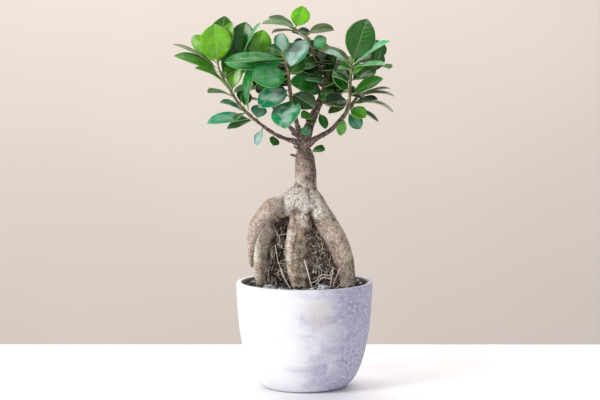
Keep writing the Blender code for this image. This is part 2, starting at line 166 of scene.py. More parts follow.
def getPoints(mesh):
    points = np.empty(len(mesh.vertices) * 3, np.float32)
    mesh.vertices.foreach_get("co", points)
    return points.reshape(-1, 3).astype(float)


def paintPoints(mesh, name, values):
    # a painted weight per point that the material reads
    layer = mesh.attributes.new(name, "FLOAT", "POINT")
    layer.data.foreach_set("value", np.asarray(values, np.float32))


def neighbours(mesh):
    near = [set() for _ in mesh.vertices]
    for a, b in (edge.vertices for edge in mesh.edges):
        near[a].add(b)
        near[b].add(a)
    return near


def ringsFrom(mesh, first):
    # sets of points, each one edge further from the first set than the last
    near = neighbours(mesh)
    seen = set(first)
    rings = [sorted(first)]
    while True:
        after = {n for i in rings[-1] for n in near[i]} - seen
        if not after:
            return rings
        seen |= after
        rings.append(sorted(after))


# camera, light and floor

stage = {
    "cameraPlace": (-4.6, -2000, 375),
    "cameraAim": (-4.6, 0, 193),
    "lens": 117.5,
    "tableBack": 260,
    "wall": 2350,
}


def makeStage():
    camera = bpy.data.objects.new("camera", bpy.data.cameras.new("camera"))
    scene.collection.objects.link(camera)
    camera.location = Vector(stage["cameraPlace"]) * mm
    look = (Vector(stage["cameraAim"]) * mm - camera.location).to_track_quat("-Z", "Y")
    camera.rotation_euler = look.to_euler()
    camera.data.lens = stage["lens"]
    camera.data.sensor_width = 36
    camera.data.clip_start = 0.05
    scene.camera = camera

    lamps = {  # place, aim, size, power, colour
        "window": ((-1500, -1250, 1250), (0, 0, 200), 0.7, 32, "#fffdf9"),
        "front": ((500, -2100, 900), (0, 0, 180), 1.6, 4, "#f3f4ff"),
        "behind": ((900, 1300, 1500), (0, 0, 250), 1.0, 6, "#ffffff"),
        "wall": ((-300, 900, 2100), (-300, 2350, 500), 2.0, 52, "#fff9f1"),
    }
    for name, (place, aim, size, power, colour) in lamps.items():
        lamp = bpy.data.objects.new(name, bpy.data.lights.new(name, "AREA"))
        scene.collection.objects.link(lamp)
        lamp.data.size = size
        lamp.data.energy = power
        lamp.data.color = linear(colour)[:3]
        lamp.location = Vector(place) * mm
        lamp.rotation_euler = (Vector(aim) - Vector(place)).to_track_quat("-Z", "Y").to_euler()

    world = bpy.data.worlds.new("studio")
    scene.world = world
    world.use_nodes = True
    world.node_tree.nodes["Background"].inputs["Color"].default_value = linear("#f2f1f6")
    world.node_tree.nodes["Background"].inputs["Strength"].default_value = 0.45
    scene.view_settings.view_transform = "Standard"

    # satin white table top with a trace of brush marks, and a matt beige wall
    paints = []
    for name, roughness, scale, detail, stops in (
            ("table_white_paint", 0.55, 14, 4, [(0.35, "#f3f3f8"), (0.65, "#fafafd")]),
            ("wall_beige_paint", 0.9, 1.5, 2, [(0.3, "#dfd6cd"), (0.7, "#e5dcd4")])):
        paint, shader, add = newFinish(name, roughness)
        cloud = add("TexNoise", add("TexCoord").outputs["Object"], Scale=scale, Detail=detail)
        connect(paint, shader.inputs["Base Color"], add("ValToRGB", cloud, stops=stops))
        paints.append(paint)

    back = stage["tableBack"] * mm
    wall = stage["wall"] * mm
    sheets = {"table": [(-6, -5, 0), (6, -5, 0), (-6, back, 0), (6, back, 0)],
              "wall": [(-6, wall, -2), (6, wall, -2), (-6, wall, 5), (6, wall, 5)]}
    for (name, corners), paint in zip(sheets.items(), paints):
        bpy.ops.object.select_all(action="DESELECT")
        bpy.ops.mesh.primitive_plane_add(size=1, location=(0, 0, 0))
        sheet = bpy.context.active_object
        sheet.name = name
        setPoints(sheet.data, corners)
        sheet.data.materials.append(paint)
    print("stage ready")


# pot

potShape = {
    "wall": 6,
    "lip": 1.6,      # rounding of the rim
    "floor": 9,
    "turns": 144,
    "rows": 34,
    "wobble": 0.12,  # hand finish of the cast wall
}


def potFinish():
    # Cast cement with a pale wash: matt and chalky, mottled where the wash is thin, small air
    # pits; painted shade turns one side lavender-grey and darkens the inside
    finish, shader, add = newFinish("cast_cement_pale_wash", 0.72)
    coords = add("TexCoord").outputs["Object"]
    place = add("SeparateXYZ", coords)
    flat = add("VectorMath MULTIPLY", coords, (1, 1, 0))
    # painted shade: the wall turns lavender-grey towards +X, the side away from the light, mixed
    # with the cloudy mottling of the thin wash
    side = add("MapRange SMOOTHSTEP", place.outputs["X"], -0.045, 0.072, 0.0, 1.0)
    stretched = add("Mapping", coords, Scale=(1, 1, 1.7))
    clouds = add("TexNoise", stretched, Scale=32, Detail=6, Roughness=0.6, Distortion=0.6)
    mottle = add("TexNoise", coords, Scale=330, Detail=5, Roughness=0.7)
    washEdge = add("Math MULTIPLY_ADD", clouds, 1.5, -0.75)
    shadeAndWear = add("Math ADD", side, washEdge, use_clamp=True)
    paleTone = add("ValToRGB", shadeAndWear, stops=[(0.0, "#f1f1f4"), (0.25, "#e9e9ef"), (0.45, "#dcdce6"),
                                            (0.7, "#c6c6d6"), (1.0, "#aeabc3")])
    speckTone = add("ValToRGB", mottle, stops=[(0.34, "#85809c"), (0.45, "#aba7c0"),
                                               (0.55, "#c6c4d8"), (0.66, "#e2e1ee")])
    speckShare = add("MapRange SMOOTHSTEP", shadeAndWear, 0.25, 1.1, 0.0, 0.8)
    tone = add("Mix", speckShare, paleTone, speckTone)
    # a bare sandy patch under the rim
    patchPlace = add("VectorMath DISTANCE", coords, (0.014, -0.067, 0.083))
    patch = add("MapRange SMOOTHSTEP", add("Math MULTIPLY_ADD", clouds, 0.03, patchPlace), 0.018,
                0.038, 0.6, 0.0)
    tone = add("Mix", patch, tone, linear("#d3cdc9"))
    # painted shade: the inside wall above the soil is painted dark grey-brown
    reach = add("Math SQRT", add("VectorMath DOT_PRODUCT", flat, flat))
    innerShade = add("MapRange SMOOTHSTEP", reach, 0.065, 0.0662, 0.9, 0.0)
    above = add("Math GREATER_THAN", place.outputs["Z"], 0.085)
    innerShade = add("Math MULTIPLY", innerShade, above)
    tone = add("Mix", innerShade, tone, add("ValToRGB", clouds, stops=[(0.3, "#5d5550"),
                                                                  (0.7, "#8a827c")]))
    # air pits, 0.6 to 1.2 mm wide, in some cells only
    pits = add("TexVoronoi", coords, Scale=210)
    pitDepth = add("MapRange", pits, 0.05, 0.16, 0.0, 1.0)
    pitHere = add("Math GREATER_THAN", add("SeparateColor", pits.outputs["Color"]), 0.22)
    pitMask = add("Math MAXIMUM", pitDepth, pitHere)
    tone = add("Mix MULTIPLY", 1.0, tone, add("ValToRGB", pitMask, stops=[(0.0, "#c9c6d2"),
                                                                          (1.0, "#ffffff")]))
    relief = add("Math MULTIPLY_ADD", mottle, 0.5, pitMask)
    bump = add("Bump", Strength=0.25, Distance=0.0005, Height=relief)
    rough = add("MapRange", mottle, ToMin=0.62, ToMax=0.85)
    connect(finish, shader.inputs["Base Color"], tone)
    connect(finish, shader.inputs["Roughness"], rough)
    connect(finish, shader.inputs["Normal"], bump)
    return finish


def potOutline(share, low, rim, height):
    # the wall swells out from the foot and rises almost upright to the rim
    corners = ((low, 0), (rim * 0.83, height * 0.037), (rim * 0.985, height * 0.41), (rim, height))
    weights = ((1 - share) ** 3, 3 * share * (1 - share) ** 2, 3 * share**2 * (1 - share),
               share**3)
    return [sum(w * c[i] for w, c in zip(weights, corners)) for i in (0, 1)]


def makePot():
    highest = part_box("pot")[1]
    height = highest.z
    rim = highest.x
    points = getPoints(cadNodes["pot"].data)
    foot = max(math.hypot(x, y) for x, y, z in points if z < 0.0002)
    wall = potShape["wall"] * mm
    lip = potShape["lip"] * mm
    rows = [potOutline(i / potShape["rows"], foot, rim, height)
            for i in range(potShape["rows"] + 1)]
    outside = [(r, z) for r, z in rows if z < height - lip * 1.2]
    rimRows = []
    for i in range(7):  # the rim rolls over in a half round on each edge
        turn = math.pi / 2 * i / 6
        rimRows.append((rim - lip + lip * math.cos(turn), height - lip + lip * math.sin(turn)))
    for i in range(7):
        turn = math.pi / 2 * i / 6
        rimRows.append((rim - wall + lip - lip * math.sin(turn),
                        height - lip + lip * math.cos(turn)))
    floorHeight = potShape["floor"] * mm
    inside = [(r - wall, z) for r, z in reversed(rows)
              if floorHeight + 2 * mm < z < height - 3 * mm]
    inside.append((inside[-1][0] - 5 * mm, floorHeight))
    profile = outside + rimRows + inside

    bpy.ops.object.select_all(action="DESELECT")
    bpy.ops.mesh.primitive_circle_add(vertices=potShape["turns"], radius=profile[0][0],
                                      fill_type="NOTHING", location=(0, 0, 0))
    pot = bpy.context.active_object
    pot.name = "pot_cast"
    bpy.ops.object.mode_set(mode="EDIT")
    bpy.ops.mesh.select_all(action="SELECT")
    for (radius, level), (nextRadius, nextLevel) in zip(profile, profile[1:]):
        bpy.ops.mesh.extrude_edges_move(
            TRANSFORM_OT_translate={"value": (0, 0, nextLevel - level)})
        growth = nextRadius / radius
        bpy.ops.transform.resize(value=(growth, growth, 1), center_override=(0, 0, nextLevel))
    bpy.ops.mesh.edge_face_add()  # the inside floor
    bpy.ops.mesh.select_all(action="DESELECT")
    bpy.ops.mesh.select_non_manifold()
    bpy.ops.mesh.edge_face_add()  # the base
    bpy.ops.mesh.select_all(action="SELECT")
    bpy.ops.mesh.normals_make_consistent(inside=False)
    bpy.ops.object.mode_set(mode="OBJECT")

    points = getPoints(pot.data)
    for point in points:
        if 0.0005 < point[2] < height - 0.0005:
            push = noise.noise(Vector(point) * 45) * potShape["wobble"] * mm
            reach = math.hypot(point[0], point[1])
            point[:2] *= 1 + push / reach
    setPoints(pot.data, points)
    finishPiece(pot, [potFinish()], "pot", "pot")
    print("pot ready")


# trunk and roots

trunkShape = {
    "voxel": 0.95,
    "lumps": (0.55, 95),     # height, and how many to the metre
    "wrinkles": (0.22, 330),
    "hub": (0, 2, 232),      # the roots run outwards and down from here
    "ringStep": 1.5,         # from one fine ring of the root skin to the next
    "furrows": (0.45, 13, 14),  # height, and how many round the hub and along a root
    "rings": (0.10, 420, 60),
    "swell": 0.8,            # makes up for what the smoothing takes off
    "smooth": 30,            # rounds of smoothing
    "fingerSmooth": 5,
    "foldRounds": 14,        # how widely a fold is looked for
}
# Flesh that fills out the legs and the shoulder: points along a limb, each with its radius
trunkFlesh = [
    [((2, 0, 206), 4), ((-3, -4, 200), 9), ((-10, -7, 194), 11), ((-17, -8, 188), 10),
     ((-22, -7, 182), 7), ((-24, -5, 177), 3)],
    [((0, 0, 200), 7), ((-2, -3, 190), 10.5), ((-3, -6, 180), 11.5), ((-3, -8, 168), 12),
     ((-3, -9.5, 155), 12.5), ((-3.5, -11.5, 142), 12.5), ((-3.5, -14.5, 129), 11.5),
     ((-3, -18, 117), 10), ((-2, -21, 104), 8)],
    [((-8, -7, 198), 11), ((-3, -8, 191), 12), ((4, -7.5, 184), 11)],
    [((0, 1, 206), 6), ((4, -2, 198), 10), ((10, -5, 188), 11.5), ((16, -6, 178), 11.5),
     ((21, -7, 169), 9)],
    [((-25, 0, 180), 6), ((-33, 0, 169), 7.6), ((-39, 0.5, 158), 8), ((-43, 2, 142), 8.2),
     ((-44.5, 3, 126), 7), ((-44.5, 4, 112), 6), ((-44, 6, 102), 5)],
]
# The short root that hangs off the shoulder, with its round knuckle
fingerRoot = [((-26.5, -17, 192), 1), ((-27.5, -18, 191.5), 4.6), ((-30, -19.5, 190), 7.4),
              ((-34.5, -20.5, 187), 8), ((-40, -21, 181), 7.8), ((-46, -20.5, 173.5), 7),
              ((-50.5, -19.5, 166), 5.7), ((-53, -18.5, 158), 4.4), ((-54.2, -17.5, 149), 3.2),
              ((-54.4, -16.5, 141), 2.3), ((-54.2, -16, 133), 1.6), ((-53.6, -15.5, 126), 0.9)]
# Places of the bark's tones: centre and reach. The dark tone is painted shade on the sides, the
# back and the hollows turned from the light
barkPatches = {
    "paleBark": [((-17, -12, 197), 15), ((-7, -12, 203), 13), ((-2, -14, 198), 10),
                 ((-24, -12, 188), 8), ((4, -14, 206), 7), ((-9, -16, 188), 8),
                 ((4, -16, 194), 9), ((10, -16, 190), 8), ((15, -18, 182), 7), ((-2, -18, 182), 7),
                 ((-4, -12, 196), 8), ((-50, 2, 150), 9), ((-52, 2, 136), 9), ((-16, -20, 160), 5),
                 ((-18, -22, 148), 5), ((-17, -22, 136), 5)],
    "mossBark": [((-3.5, -16, 160), 4), ((-4.5, -20, 151), 4.5), ((-5, -22, 142), 5),
                 ((-5, -24, 133), 5), ((-5.5, -26, 124), 5), ((-6, -28, 115), 5.5),
                 ((46, -12, 128), 7), ((50, -8, 118), 8), ((-38, 0, 165), 6)],
    "pinkBark": [((-36, -26, 188), 11), ((-46, -24, 176), 11), ((-52, -20, 162), 9),
                 ((-54, -18, 148), 9),
                 ((-2, -9, 234), 11), ((-2, -10, 222), 9), ((18, -16, 170), 10),
                 ((26, -18, 156), 11), ((32, -19, 140), 11),
                 ((36, -19, 124), 10), ((-13, -24, 118), 7)],
    # painted shade: the right-hand sides, the back and the hollows between the legs
    "shadedBark": [((7, -8, 168), 9), ((8, -8, 152), 8), ((7, -11, 138), 8), ((5, -15, 124), 8),
                 ((4, -18, 112), 9), ((-30, -8, 168), 6), ((-22, 0, 172), 8), ((0, 3, 250), 20),
                 ((0, 0, 262), 14), ((6, -2, 230), 10), ((-24, -16, 184), 4), ((-22, -16, 178), 5),
                 ((8, -17, 172), 6), ((8, -18, 162), 7), ((8, -20, 150), 7), ((7, -22, 138), 7),
                 ((6, -24, 126), 7), ((5, -26, 114), 6), ((6, -9, 241), 6), ((7, -9, 232), 5),
                 ((8, -6, 219), 5), ((8, -6, 226), 6), ((3, -10, 239), 6),
                 ((4, -21, 160), 5), ((4, -23, 149), 5), ((3, -25, 138), 5), ((3, -27, 126), 5),
                 ((-30, 24, 150), 12), ((-33, 30, 125), 13), ((28, -14, 173), 3),
                 ((-34, 3, 150), 6), ((-34, 2, 135), 7),
                 ((0, 30, 130), 30), ((4, -6, 214), 7)],
}


def patchWeights(points, patches):
    weights = np.zeros(len(points))
    for centre, reach in patches:
        away = np.linalg.norm(points - np.array(centre) * mm, axis=1) / (reach * mm)
        near = np.clip(1.45 - away, 0, 1)
        weights = np.maximum(weights, near * near * (3 - 2 * near))
    return weights


def barkFinish():
    # Fig bark over swollen roots: smooth, thin and grey-beige, dull, with dark corky pores,
    # fine rings across each root and hair cracks along it
    finish, shader, add = newFinish("fig_root_bark", 0.78)
    coords = add("TexCoord").outputs["Object"]
    hub = tuple(c * mm for c in trunkShape["hub"])
    offset = add("VectorMath SUBTRACT", coords, hub)
    along = add("VectorMath LENGTH", offset)
    way = add("VectorMath NORMALIZE", offset)
    pinkBark, mossBark, shadedBark, paleBark, foldShade = (
        add("Attribute", attribute_name=name).outputs["Fac"]
        for name in ("pinkBark", "mossBark", "shadedBark", "paleBark", "foldShade"))
    blotches = add("TexNoise", coords, Scale=75, Detail=5, Roughness=0.65)
    grit = add("TexNoise", coords, Scale=480, Detail=3, Roughness=0.7)
    skin = add("ValToRGB", blotches, stops=[(0.3, "#8d7b69"), (0.44, "#bba994"), (0.56, "#dccfbd"),
                                            (0.7, "#f3ebdf")])
    # tones painted by place; the dark one is painted shade on sides turned from the light
    skin = add("Mix", pinkBark, skin, add("ValToRGB", blotches, stops=[(0.3, "#9d8577"),
                                                                       (0.5, "#d0bcae"),
                                                                       (0.7, "#f0e4db")]))
    mossShare = add("Math MULTIPLY", mossBark, 0.85)
    skin = add("Mix", mossShare, skin, add("ValToRGB", blotches, stops=[(0.3, "#3e3d22"),
                                                                        (0.5, "#6a6742"),
                                                                        (0.7, "#948b6a")]))
    # painted shade: darker brown where the sides turn from the light
    shadeShare = add("Math MULTIPLY", shadedBark, 0.92)
    skin = add("Mix", shadeShare, skin, add("ValToRGB", blotches, stops=[(0.3, "#2f221e"),
                                                                        (0.5, "#59463e"),
                                                                        (0.7, "#8d7769")]))
    # chalky skin on the shoulder
    flakes = add("TexNoise", coords, Scale=260, Detail=4, Roughness=0.75)
    chalk = add("MapRange SMOOTHSTEP", flakes, 0.34, 0.48)
    chalkShare = add("Math MULTIPLY", chalk, paleBark)
    skin = add("Mix", chalkShare, skin, linear("#f7f3ec"))
    # weathered patches of 3 to 5 mm, strongest where the painted shade lies
    patchShare = add("MapRange", shadedBark, ToMin=0.42, ToMax=1.0)
    patchTone = add("ValToRGB", flakes, stops=[(0.34, "#54473e"), (0.43, "#b3a598"),
                                               (0.5, "#f6efe8"), (0.6, "#ffffff")])
    skin = add("Mix MULTIPLY", patchShare, skin, patchTone)
    # fine dark and light grit all over, 1 to 2 mm
    speck = add("TexNoise", coords, Scale=620, Detail=4, Roughness=0.8)
    speckTone = add("ValToRGB", speck, stops=[(0.32, "#4a4038"), (0.41, "#c2b9ae"),
                                              (0.5, "#ffffff")])
    skin = add("Mix MULTIPLY", 0.85, skin, speckTone)
    glint = add("MapRange SMOOTHSTEP", speck, 0.54, 0.64, ToMax=0.75)
    skin = add("Mix", glint, skin, linear("#efe6d8"))
    # corky pores, 0.5 to 1 mm, drawn a little wide across the root
    across = add("Mapping", coords, Scale=(1, 1, 1.5))
    cells = add("TexVoronoi", across, Scale=430, Randomness=1.0)
    pores = add("MapRange SMOOTHSTEP", cells, 0.12, 0.38, 1.0, 0.0)
    pick = add("SeparateColor", cells.outputs["Color"])
    few = add("MapRange SMOOTHSTEP", pick, 0.35, 0.6)
    poreShare = add("Math MULTIPLY", pores, few)
    skin = add("Mix", add("Math MULTIPLY", poreShare, 0.75), skin, linear("#3b2d22"))
    # rings across the roots
    waver = add("Math MULTIPLY_ADD", blotches, 0.006, along)
    turns = add("Math MULTIPLY", waver, math.tau / (trunkShape["ringStep"] * mm))
    ring = add("Math SINE", turns)
    ringShare = add("MapRange SMOOTHSTEP", ring, 0.35, 1.0, ToMax=0.3)
    broken = add("Math MULTIPLY", ringShare, add("MapRange SMOOTHSTEP", flakes, 0.42, 0.58))
    skin = add("Mix MULTIPLY", broken, skin, linear("#4d3b2b"))
    # hair cracks along the roots
    crackPlace = add("VectorMath SCALE", way, Scale=0.3)
    crackDown = add("Math MULTIPLY", along, 0.35)
    crackPoint = add("VectorMath ADD", crackPlace, crackDown)
    cracks = add("TexNoise", crackPoint, Scale=120, Detail=3, Roughness=0.6)
    crackLine = add("Math ABSOLUTE", add("Math SUBTRACT", cracks, 0.5))
    crackShare = add("MapRange SMOOTHSTEP", crackLine, 0.0, 0.022, 0.55, 0.0)
    skin = add("Mix", crackShare, skin, linear("#3f2f22"))
    # painted shade in the folds, from the mesh's own shape: darker where it sinks in
    foldShadeTone = add("ValToRGB", foldShade, stops=[(0.2, "#2c211a"), (0.45, "#a99a8b"),
                                             (0.56, "#ffffff")])
    skin = add("Mix MULTIPLY", 0.9, skin, foldShadeTone)
    height = add("Math MULTIPLY_ADD", grit, 0.7, add("Math SUBTRACT", blotches, poreShare))
    height = add("Math SUBTRACT", height, add("Math ADD", broken, crackShare))
    bump = add("Bump", Strength=0.7, Distance=0.0007, Height=height)
    rough = add("MapRange", grit, ToMin=0.68, ToMax=0.92)
    connect(finish, shader.inputs["Base Color"], skin)
    connect(finish, shader.inputs["Roughness"], rough)
    connect(finish, shader.inputs["Normal"], bump)
    return finish


def limbsFrom(name, limbs):
    lines = [smoothLine([(Vector(place) * mm, radius * mm) for place, radius in limb], 2 * mm)
             for limb in limbs]
    return tubesFrom(name, lines, 16)


def makeTrunk():
    trunk = copyOfNode("trunk", "trunk_and_roots")
    flesh = limbsFrom("flesh", trunkFlesh)
    select(trunk, flesh)
    bpy.ops.object.join()
    finger = limbsFrom("finger", [fingerRoot])
    for limb, rounds in ((trunk, trunkShape["smooth"]), (finger, trunkShape["fingerSmooth"])):
        addModifier(limb, "REMESH", mode="VOXEL", voxel_size=trunkShape["voxel"] * mm)
        addModifier(limb, "SMOOTH", factor=0.5, iterations=rounds)
    select(trunk, finger)
    bpy.ops.object.join()
    mesh = trunk.data
    points = getPoints(mesh)
    normals = np.array([vert.normal for vert in mesh.vertices])
    lumpSize, lumpRate = trunkShape["lumps"]
    wrinkleSize, wrinkleRate = trunkShape["wrinkles"]
    furrowSize, aroundRate, alongRate = trunkShape["furrows"]
    ringSize, ringRate, waverRate = trunkShape["rings"]
    hub = Vector(trunkShape["hub"]) * mm
    push = []
    for point in points:
        place = Vector(point)
        away = place - hub
        # furrows run along the roots, because their pattern follows the way from the hub
        furrows = noise.noise(away.normalized() * aroundRate
                              + Vector((0, 0, away.length * alongRate)))
        rings = noise.noise(Vector((away.length * ringRate, place.x * waverRate,
                                    place.y * waverRate)))
        push.append(lumpSize * noise.noise(place * lumpRate) + furrowSize * furrows
                    + wrinkleSize * noise.noise(place * wrinkleRate) + ringSize * rings
                    + trunkShape["swell"])
    setPoints(mesh, points + normals * np.array(push)[:, None] * mm)
    for name, patches in barkPatches.items():
        paintPoints(mesh, name, patchWeights(points, patches))
    # how far each point stands out from its neighbours: low in a fold, where the material paints
    # shade
    points = getPoints(mesh)
    smooth = points.copy()
    ends = np.array([edge.vertices[:] for edge in mesh.edges])
    counts = np.bincount(ends.ravel(), minlength=len(points))[:, None]
    for _ in range(trunkShape["foldRounds"]):
        total = np.zeros_like(smooth)
        np.add.at(total, ends[:, 0], smooth[ends[:, 1]])
        np.add.at(total, ends[:, 1], smooth[ends[:, 0]])
        smooth = total / counts
    stand = ((points - smooth) * normals).sum(axis=1) / mm
    paintPoints(mesh, "foldShade", np.clip(0.5 + stand * 0.45, 0, 1))
    finishPiece(trunk, [barkFinish()], "bark", "trunk")
    print("trunk ready:", len(mesh.polygons), "faces")


# branches and twigs

stemNodes = ["branch_left", "branch_centre", "branch_main", "branch_right", "branch_back_left",
             "twig_far_right", "twig_top", "twig_upper_left", "twig_back_right", "twig_back"]
stemShape = {
    "step": 1.3,        # between the rings of a stem
    "inside": 7,        # how far a stem starts inside what carries it
    "collar": 1.35,     # swelling where it leaves
    "joint": 9.5,       # from one old leaf scar to the next
    "scar": 0.28,       # how far a scar stands out
    "knots": 0.10,
    "slim": {"branch_main": 1.0, "branch_centre": 0.86, "branch_left": 0.74},
}
# Snapped twigs below the fork: start, tip, radius at the start
stubs = [((-4, -6, 259), (-13, -12, 262), 1.5), ((-4, -4, 254), (-13, -8, 257), 1.3),
         ((-5, -5, 246), (-11, -9, 249), 1.2), ((-7, -2, 239), (-14, -5, 240), 1.3),
         ((2, -8, 262), (5, -14, 268), 1.1),
         ((13, 2, 287), (17, -4, 291), 1.0)]


def measureStem(node):
    # the middle and radius of each of the CAD stem's rings, from its foot to its tip
    copy = copyOfNode(node, "measure")
    points = getPoints(copy.data)
    top = points[points[:, 2].argmax()]
    first = np.argsort(np.linalg.norm(points - top, axis=1))[:6]
    rings = [points[ring] for ring in ringsFrom(copy.data, first.tolist()) if len(ring) == 6]
    bpy.data.objects.remove(copy)
    line = []
    for ring in reversed(rings):
        middle = ring.mean(axis=0)
        radius = float(np.linalg.norm(ring - middle, axis=1).mean())
        line.append((Vector(middle), radius * stemShape["slim"].get(node, 0.8)))
    return line


def smoothLine(rows, step):
    # (point, radius) every step along a Catmull-Rom curve through the rows
    keys = [np.array([*point, radius]) for point, radius in rows]
    keys = [2 * keys[0] - keys[1], *keys, 2 * keys[-1] - keys[-2]]
    found = []
    for a, b, c, d in zip(keys, keys[1:], keys[2:], keys[3:]):
        count = max(1, round(np.linalg.norm((c - b)[:3]) / step))
        for i in range(count):
            t = i / count
            found.append(0.5 * (2 * b + (c - a) * t + (2 * a - 5 * b + 4 * c - d) * t**2
                                + (3 * b - a - 3 * c + d) * t**3))
    found.append(keys[-2])
    return [(Vector(row[:3]), max(row[3], 0.00005)) for row in found]


def tubesFrom(name, lines, sides):
    # round limbs: one curve with a bevel, made a mesh
    curve = bpy.data.curves.new(name, "CURVE")
    curve.dimensions = "3D"
    curve.bevel_depth = 1
    curve.bevel_resolution = sides // 2 - 2
    curve.use_fill_caps = True
    for line in lines:
        spline = curve.splines.new("POLY")
        spline.points.add(len(line) - 1)
        spline.points.foreach_set("co", [c for point, _ in line for c in (*point, 1)])
        spline.points.foreach_set("radius", [radius for _, radius in line])
    tubes = newPiece(name, curve)
    select(tubes)
    bpy.ops.object.convert(target="MESH")
    return bpy.context.active_object


def lineAt(line, height):
    # where a rising stem passes a height: the place, the radius and the way it runs
    for (low, lowRadius), (high, highRadius) in zip(line, line[1:]):
        if low.z <= height <= high.z:
            share = (height - low.z) / (high.z - low.z)
            return (low.lerp(high, share), lowRadius + (highRadius - lowRadius) * share,
                    (high - low).normalized())
    ends = line[0] if height < line[0][0].z else line[-1]
    return ends[0], ends[1], (line[-1][0] - line[0][0]).normalized()


def youngBarkFinish():
    # Young fig wood: brown and corky near the trunk, green and smooth towards the tips
    finish, shader, add = newFinish("young_fig_bark", 0.6)
    coords = add("TexCoord").outputs["Object"]
    age = add("Attribute", attribute_name="youth").outputs["Fac"]
    flecks = add("TexNoise", coords, Scale=420, Detail=4, Roughness=0.7)
    patches = add("TexNoise", coords, Scale=110, Detail=3, Roughness=0.6)
    old = add("ValToRGB", flecks, stops=[(0.32, "#251a17"), (0.46, "#4d3b35"), (0.58, "#7d6a62"),
                                         (0.72, "#b8a79c")])
    middle = add("ValToRGB", flecks, stops=[(0.32, "#3b3422"), (0.5, "#736a48"), (0.7, "#b0a680")])
    young = add("ValToRGB", flecks, stops=[(0.3, "#566a34"), (0.5, "#7d8c4c"), (0.7, "#a9b07c")])
    wander = add("Math MULTIPLY_ADD", patches, 0.5, add("Math SUBTRACT", age, 0.25))
    first = add("MapRange SMOOTHSTEP", wander, 0.36, 0.65)
    second = add("MapRange SMOOTHSTEP", wander, 0.75, 1.05)
    tone = add("Mix", first, old, middle)
    tone = add("Mix", second, tone, young)
    bump = add("Bump", Strength=0.5, Distance=0.0004, Height=flecks)
    connect(finish, shader.inputs["Base Color"], tone)
    connect(finish, shader.inputs["Normal"], bump)
    return finish


def makeStems():
    lines = {node: measureStem(node) for node in stemNodes}
    drawn = []
    youth = []
    for node, line in lines.items():
        foot, radius = line[0]
        back = (foot - line[1][0]).normalized()
        inside = stemShape["inside"] * mm * (1 if node.startswith("branch") else 0.4)
        rows = [(foot + back * inside, radius * 1.05), *line]
        tip, tipRadius = line[-1]
        ahead = (tip - line[-2][0]).normalized()
        rows += [(tip + ahead * 3 * mm, tipRadius * 0.9), (tip + ahead * 9 * mm, tipRadius * 0.35),
                 (tip + ahead * 11 * mm, tipRadius * 0.05)]  # the rolled new leaf
        smooth = smoothLine(rows, stemShape["step"] * mm)
        shaped = []
        for i, (point, size) in enumerate(smooth):
            along = i * stemShape["step"]
            past = along - stemShape["inside"]
            collar = 1 + (stemShape["collar"] - 1) * math.exp(-max(past, 0) / 5)
            scar = math.exp(-((along % stemShape["joint"] - 4) / 0.9) ** 2) * stemShape["scar"]
            knots = stemShape["knots"] * noise.noise(point * 260) * size
            shaped.append((point, size * collar + scar * mm * min(size / mm, 1) + knots * 2))
            share = i / len(smooth)
            start = 0 if node.startswith("branch") else 0.45
            if node == "branch_main":
                start = -0.25
            youth.append(start + (1.05 - start) * share ** 0.8)
        drawn.append(shaped)
    for start, tip, radius in stubs:
        start, tip = Vector(start) * mm, Vector(tip) * mm
        middle = start.lerp(tip, 0.5) + Vector((0, 0, -0.6 * mm))
        shaped = smoothLine([(start, radius * 1.2 * mm), (middle, radius * mm),
                             (tip, radius * 0.75 * mm)], 1.0 * mm)
        drawn.append(shaped)
        youth += [0.0] * len(shaped)
    stems = tubesFrom("branches_and_twigs", drawn, 12)
    # each ring of a tube carries the age of its place on the stem
    ringPlaces = np.array([point for line in drawn for point, _ in line])
    points = getPoints(stems.data)
    ages = np.empty(len(points))
    for begin in range(0, len(points), 4000):
        block = points[begin:begin + 4000, None, :] - ringPlaces[None, :, :]
        ages[begin:begin + 4000] = np.array(youth)[(block**2).sum(axis=2).argmin(axis=1)]
    paintPoints(stems.data, "youth", ages)
    normals = np.array([vert.normal for vert in stems.data.vertices])
    push = np.array([noise.noise(Vector(p) * 420) * 0.16 + noise.noise(Vector(p) * 1100) * 0.07
                     for p in points])
    setPoints(stems.data, points + normals * (push * (1.15 - ages))[:, None] * mm)
    finishPiece(stems, [youngBarkFinish()], "young_bark", *stemNodes)
    print("stems ready:", len(stems.data.polygons), "faces")
    return lines


# leaves

leafShape = {
    "across": 10,       # faces across the master leaf
    "along": 20,
    "fold": 0.26,       # rise of the rims over the midrib, as a share of the half width
    "thickness": 0.42,
    "groove": 0.30,     # depth of the midrib's groove
    "stalk": 2.6,
    "broad": 1.14,      # the blade's width, rim to rim round its fold
    "stalkRadius": 0.62,
    "sideVeins": 9,
    # half width by share of the blade: wedge foot, widest past the middle, blunt point
    "outline": [(0, 0.05), (0.05, 0.20), (0.12, 0.42), (0.22, 0.68), (0.35, 0.90), (0.48, 0.99),
                (0.58, 1.0), (0.68, 0.94), (0.78, 0.80), (0.87, 0.58), (0.94, 0.33), (1, 0.02)],
}
# Each tone: the green, and how much painted sheen lies on it. The pale tone's own green is a
# painted reflection of the sky
leafTones = {
    # the dark tone, used for leaves inside the crown, is partly painted shade
    "deep": ("#2f6a22", 0.05), "dark": ("#1c3a18", 0.05), "teal": ("#33845a", 0.3),
    "mid": ("#347c30", 0.12), "clear": ("#3a9a4c", 0.3), "grass": ("#5aa233", 0.15),
    "fresh": ("#66ad1c", 0.05), "lime": ("#74bd10", 0.05), "olive": ("#46592a", 0.12),
    "pale": ("#8fb9b8", 1.0), "mint": ("#5cb478", 0.5), "blue": ("#4a9f78", 0.6),
    "shine": ("#328a5c", 0.8), "white": ("#4a9f7c", 1.25), "brown": ("#6d6650", 0.1),
    "sun": ("#8ee22e", 0.05),
}
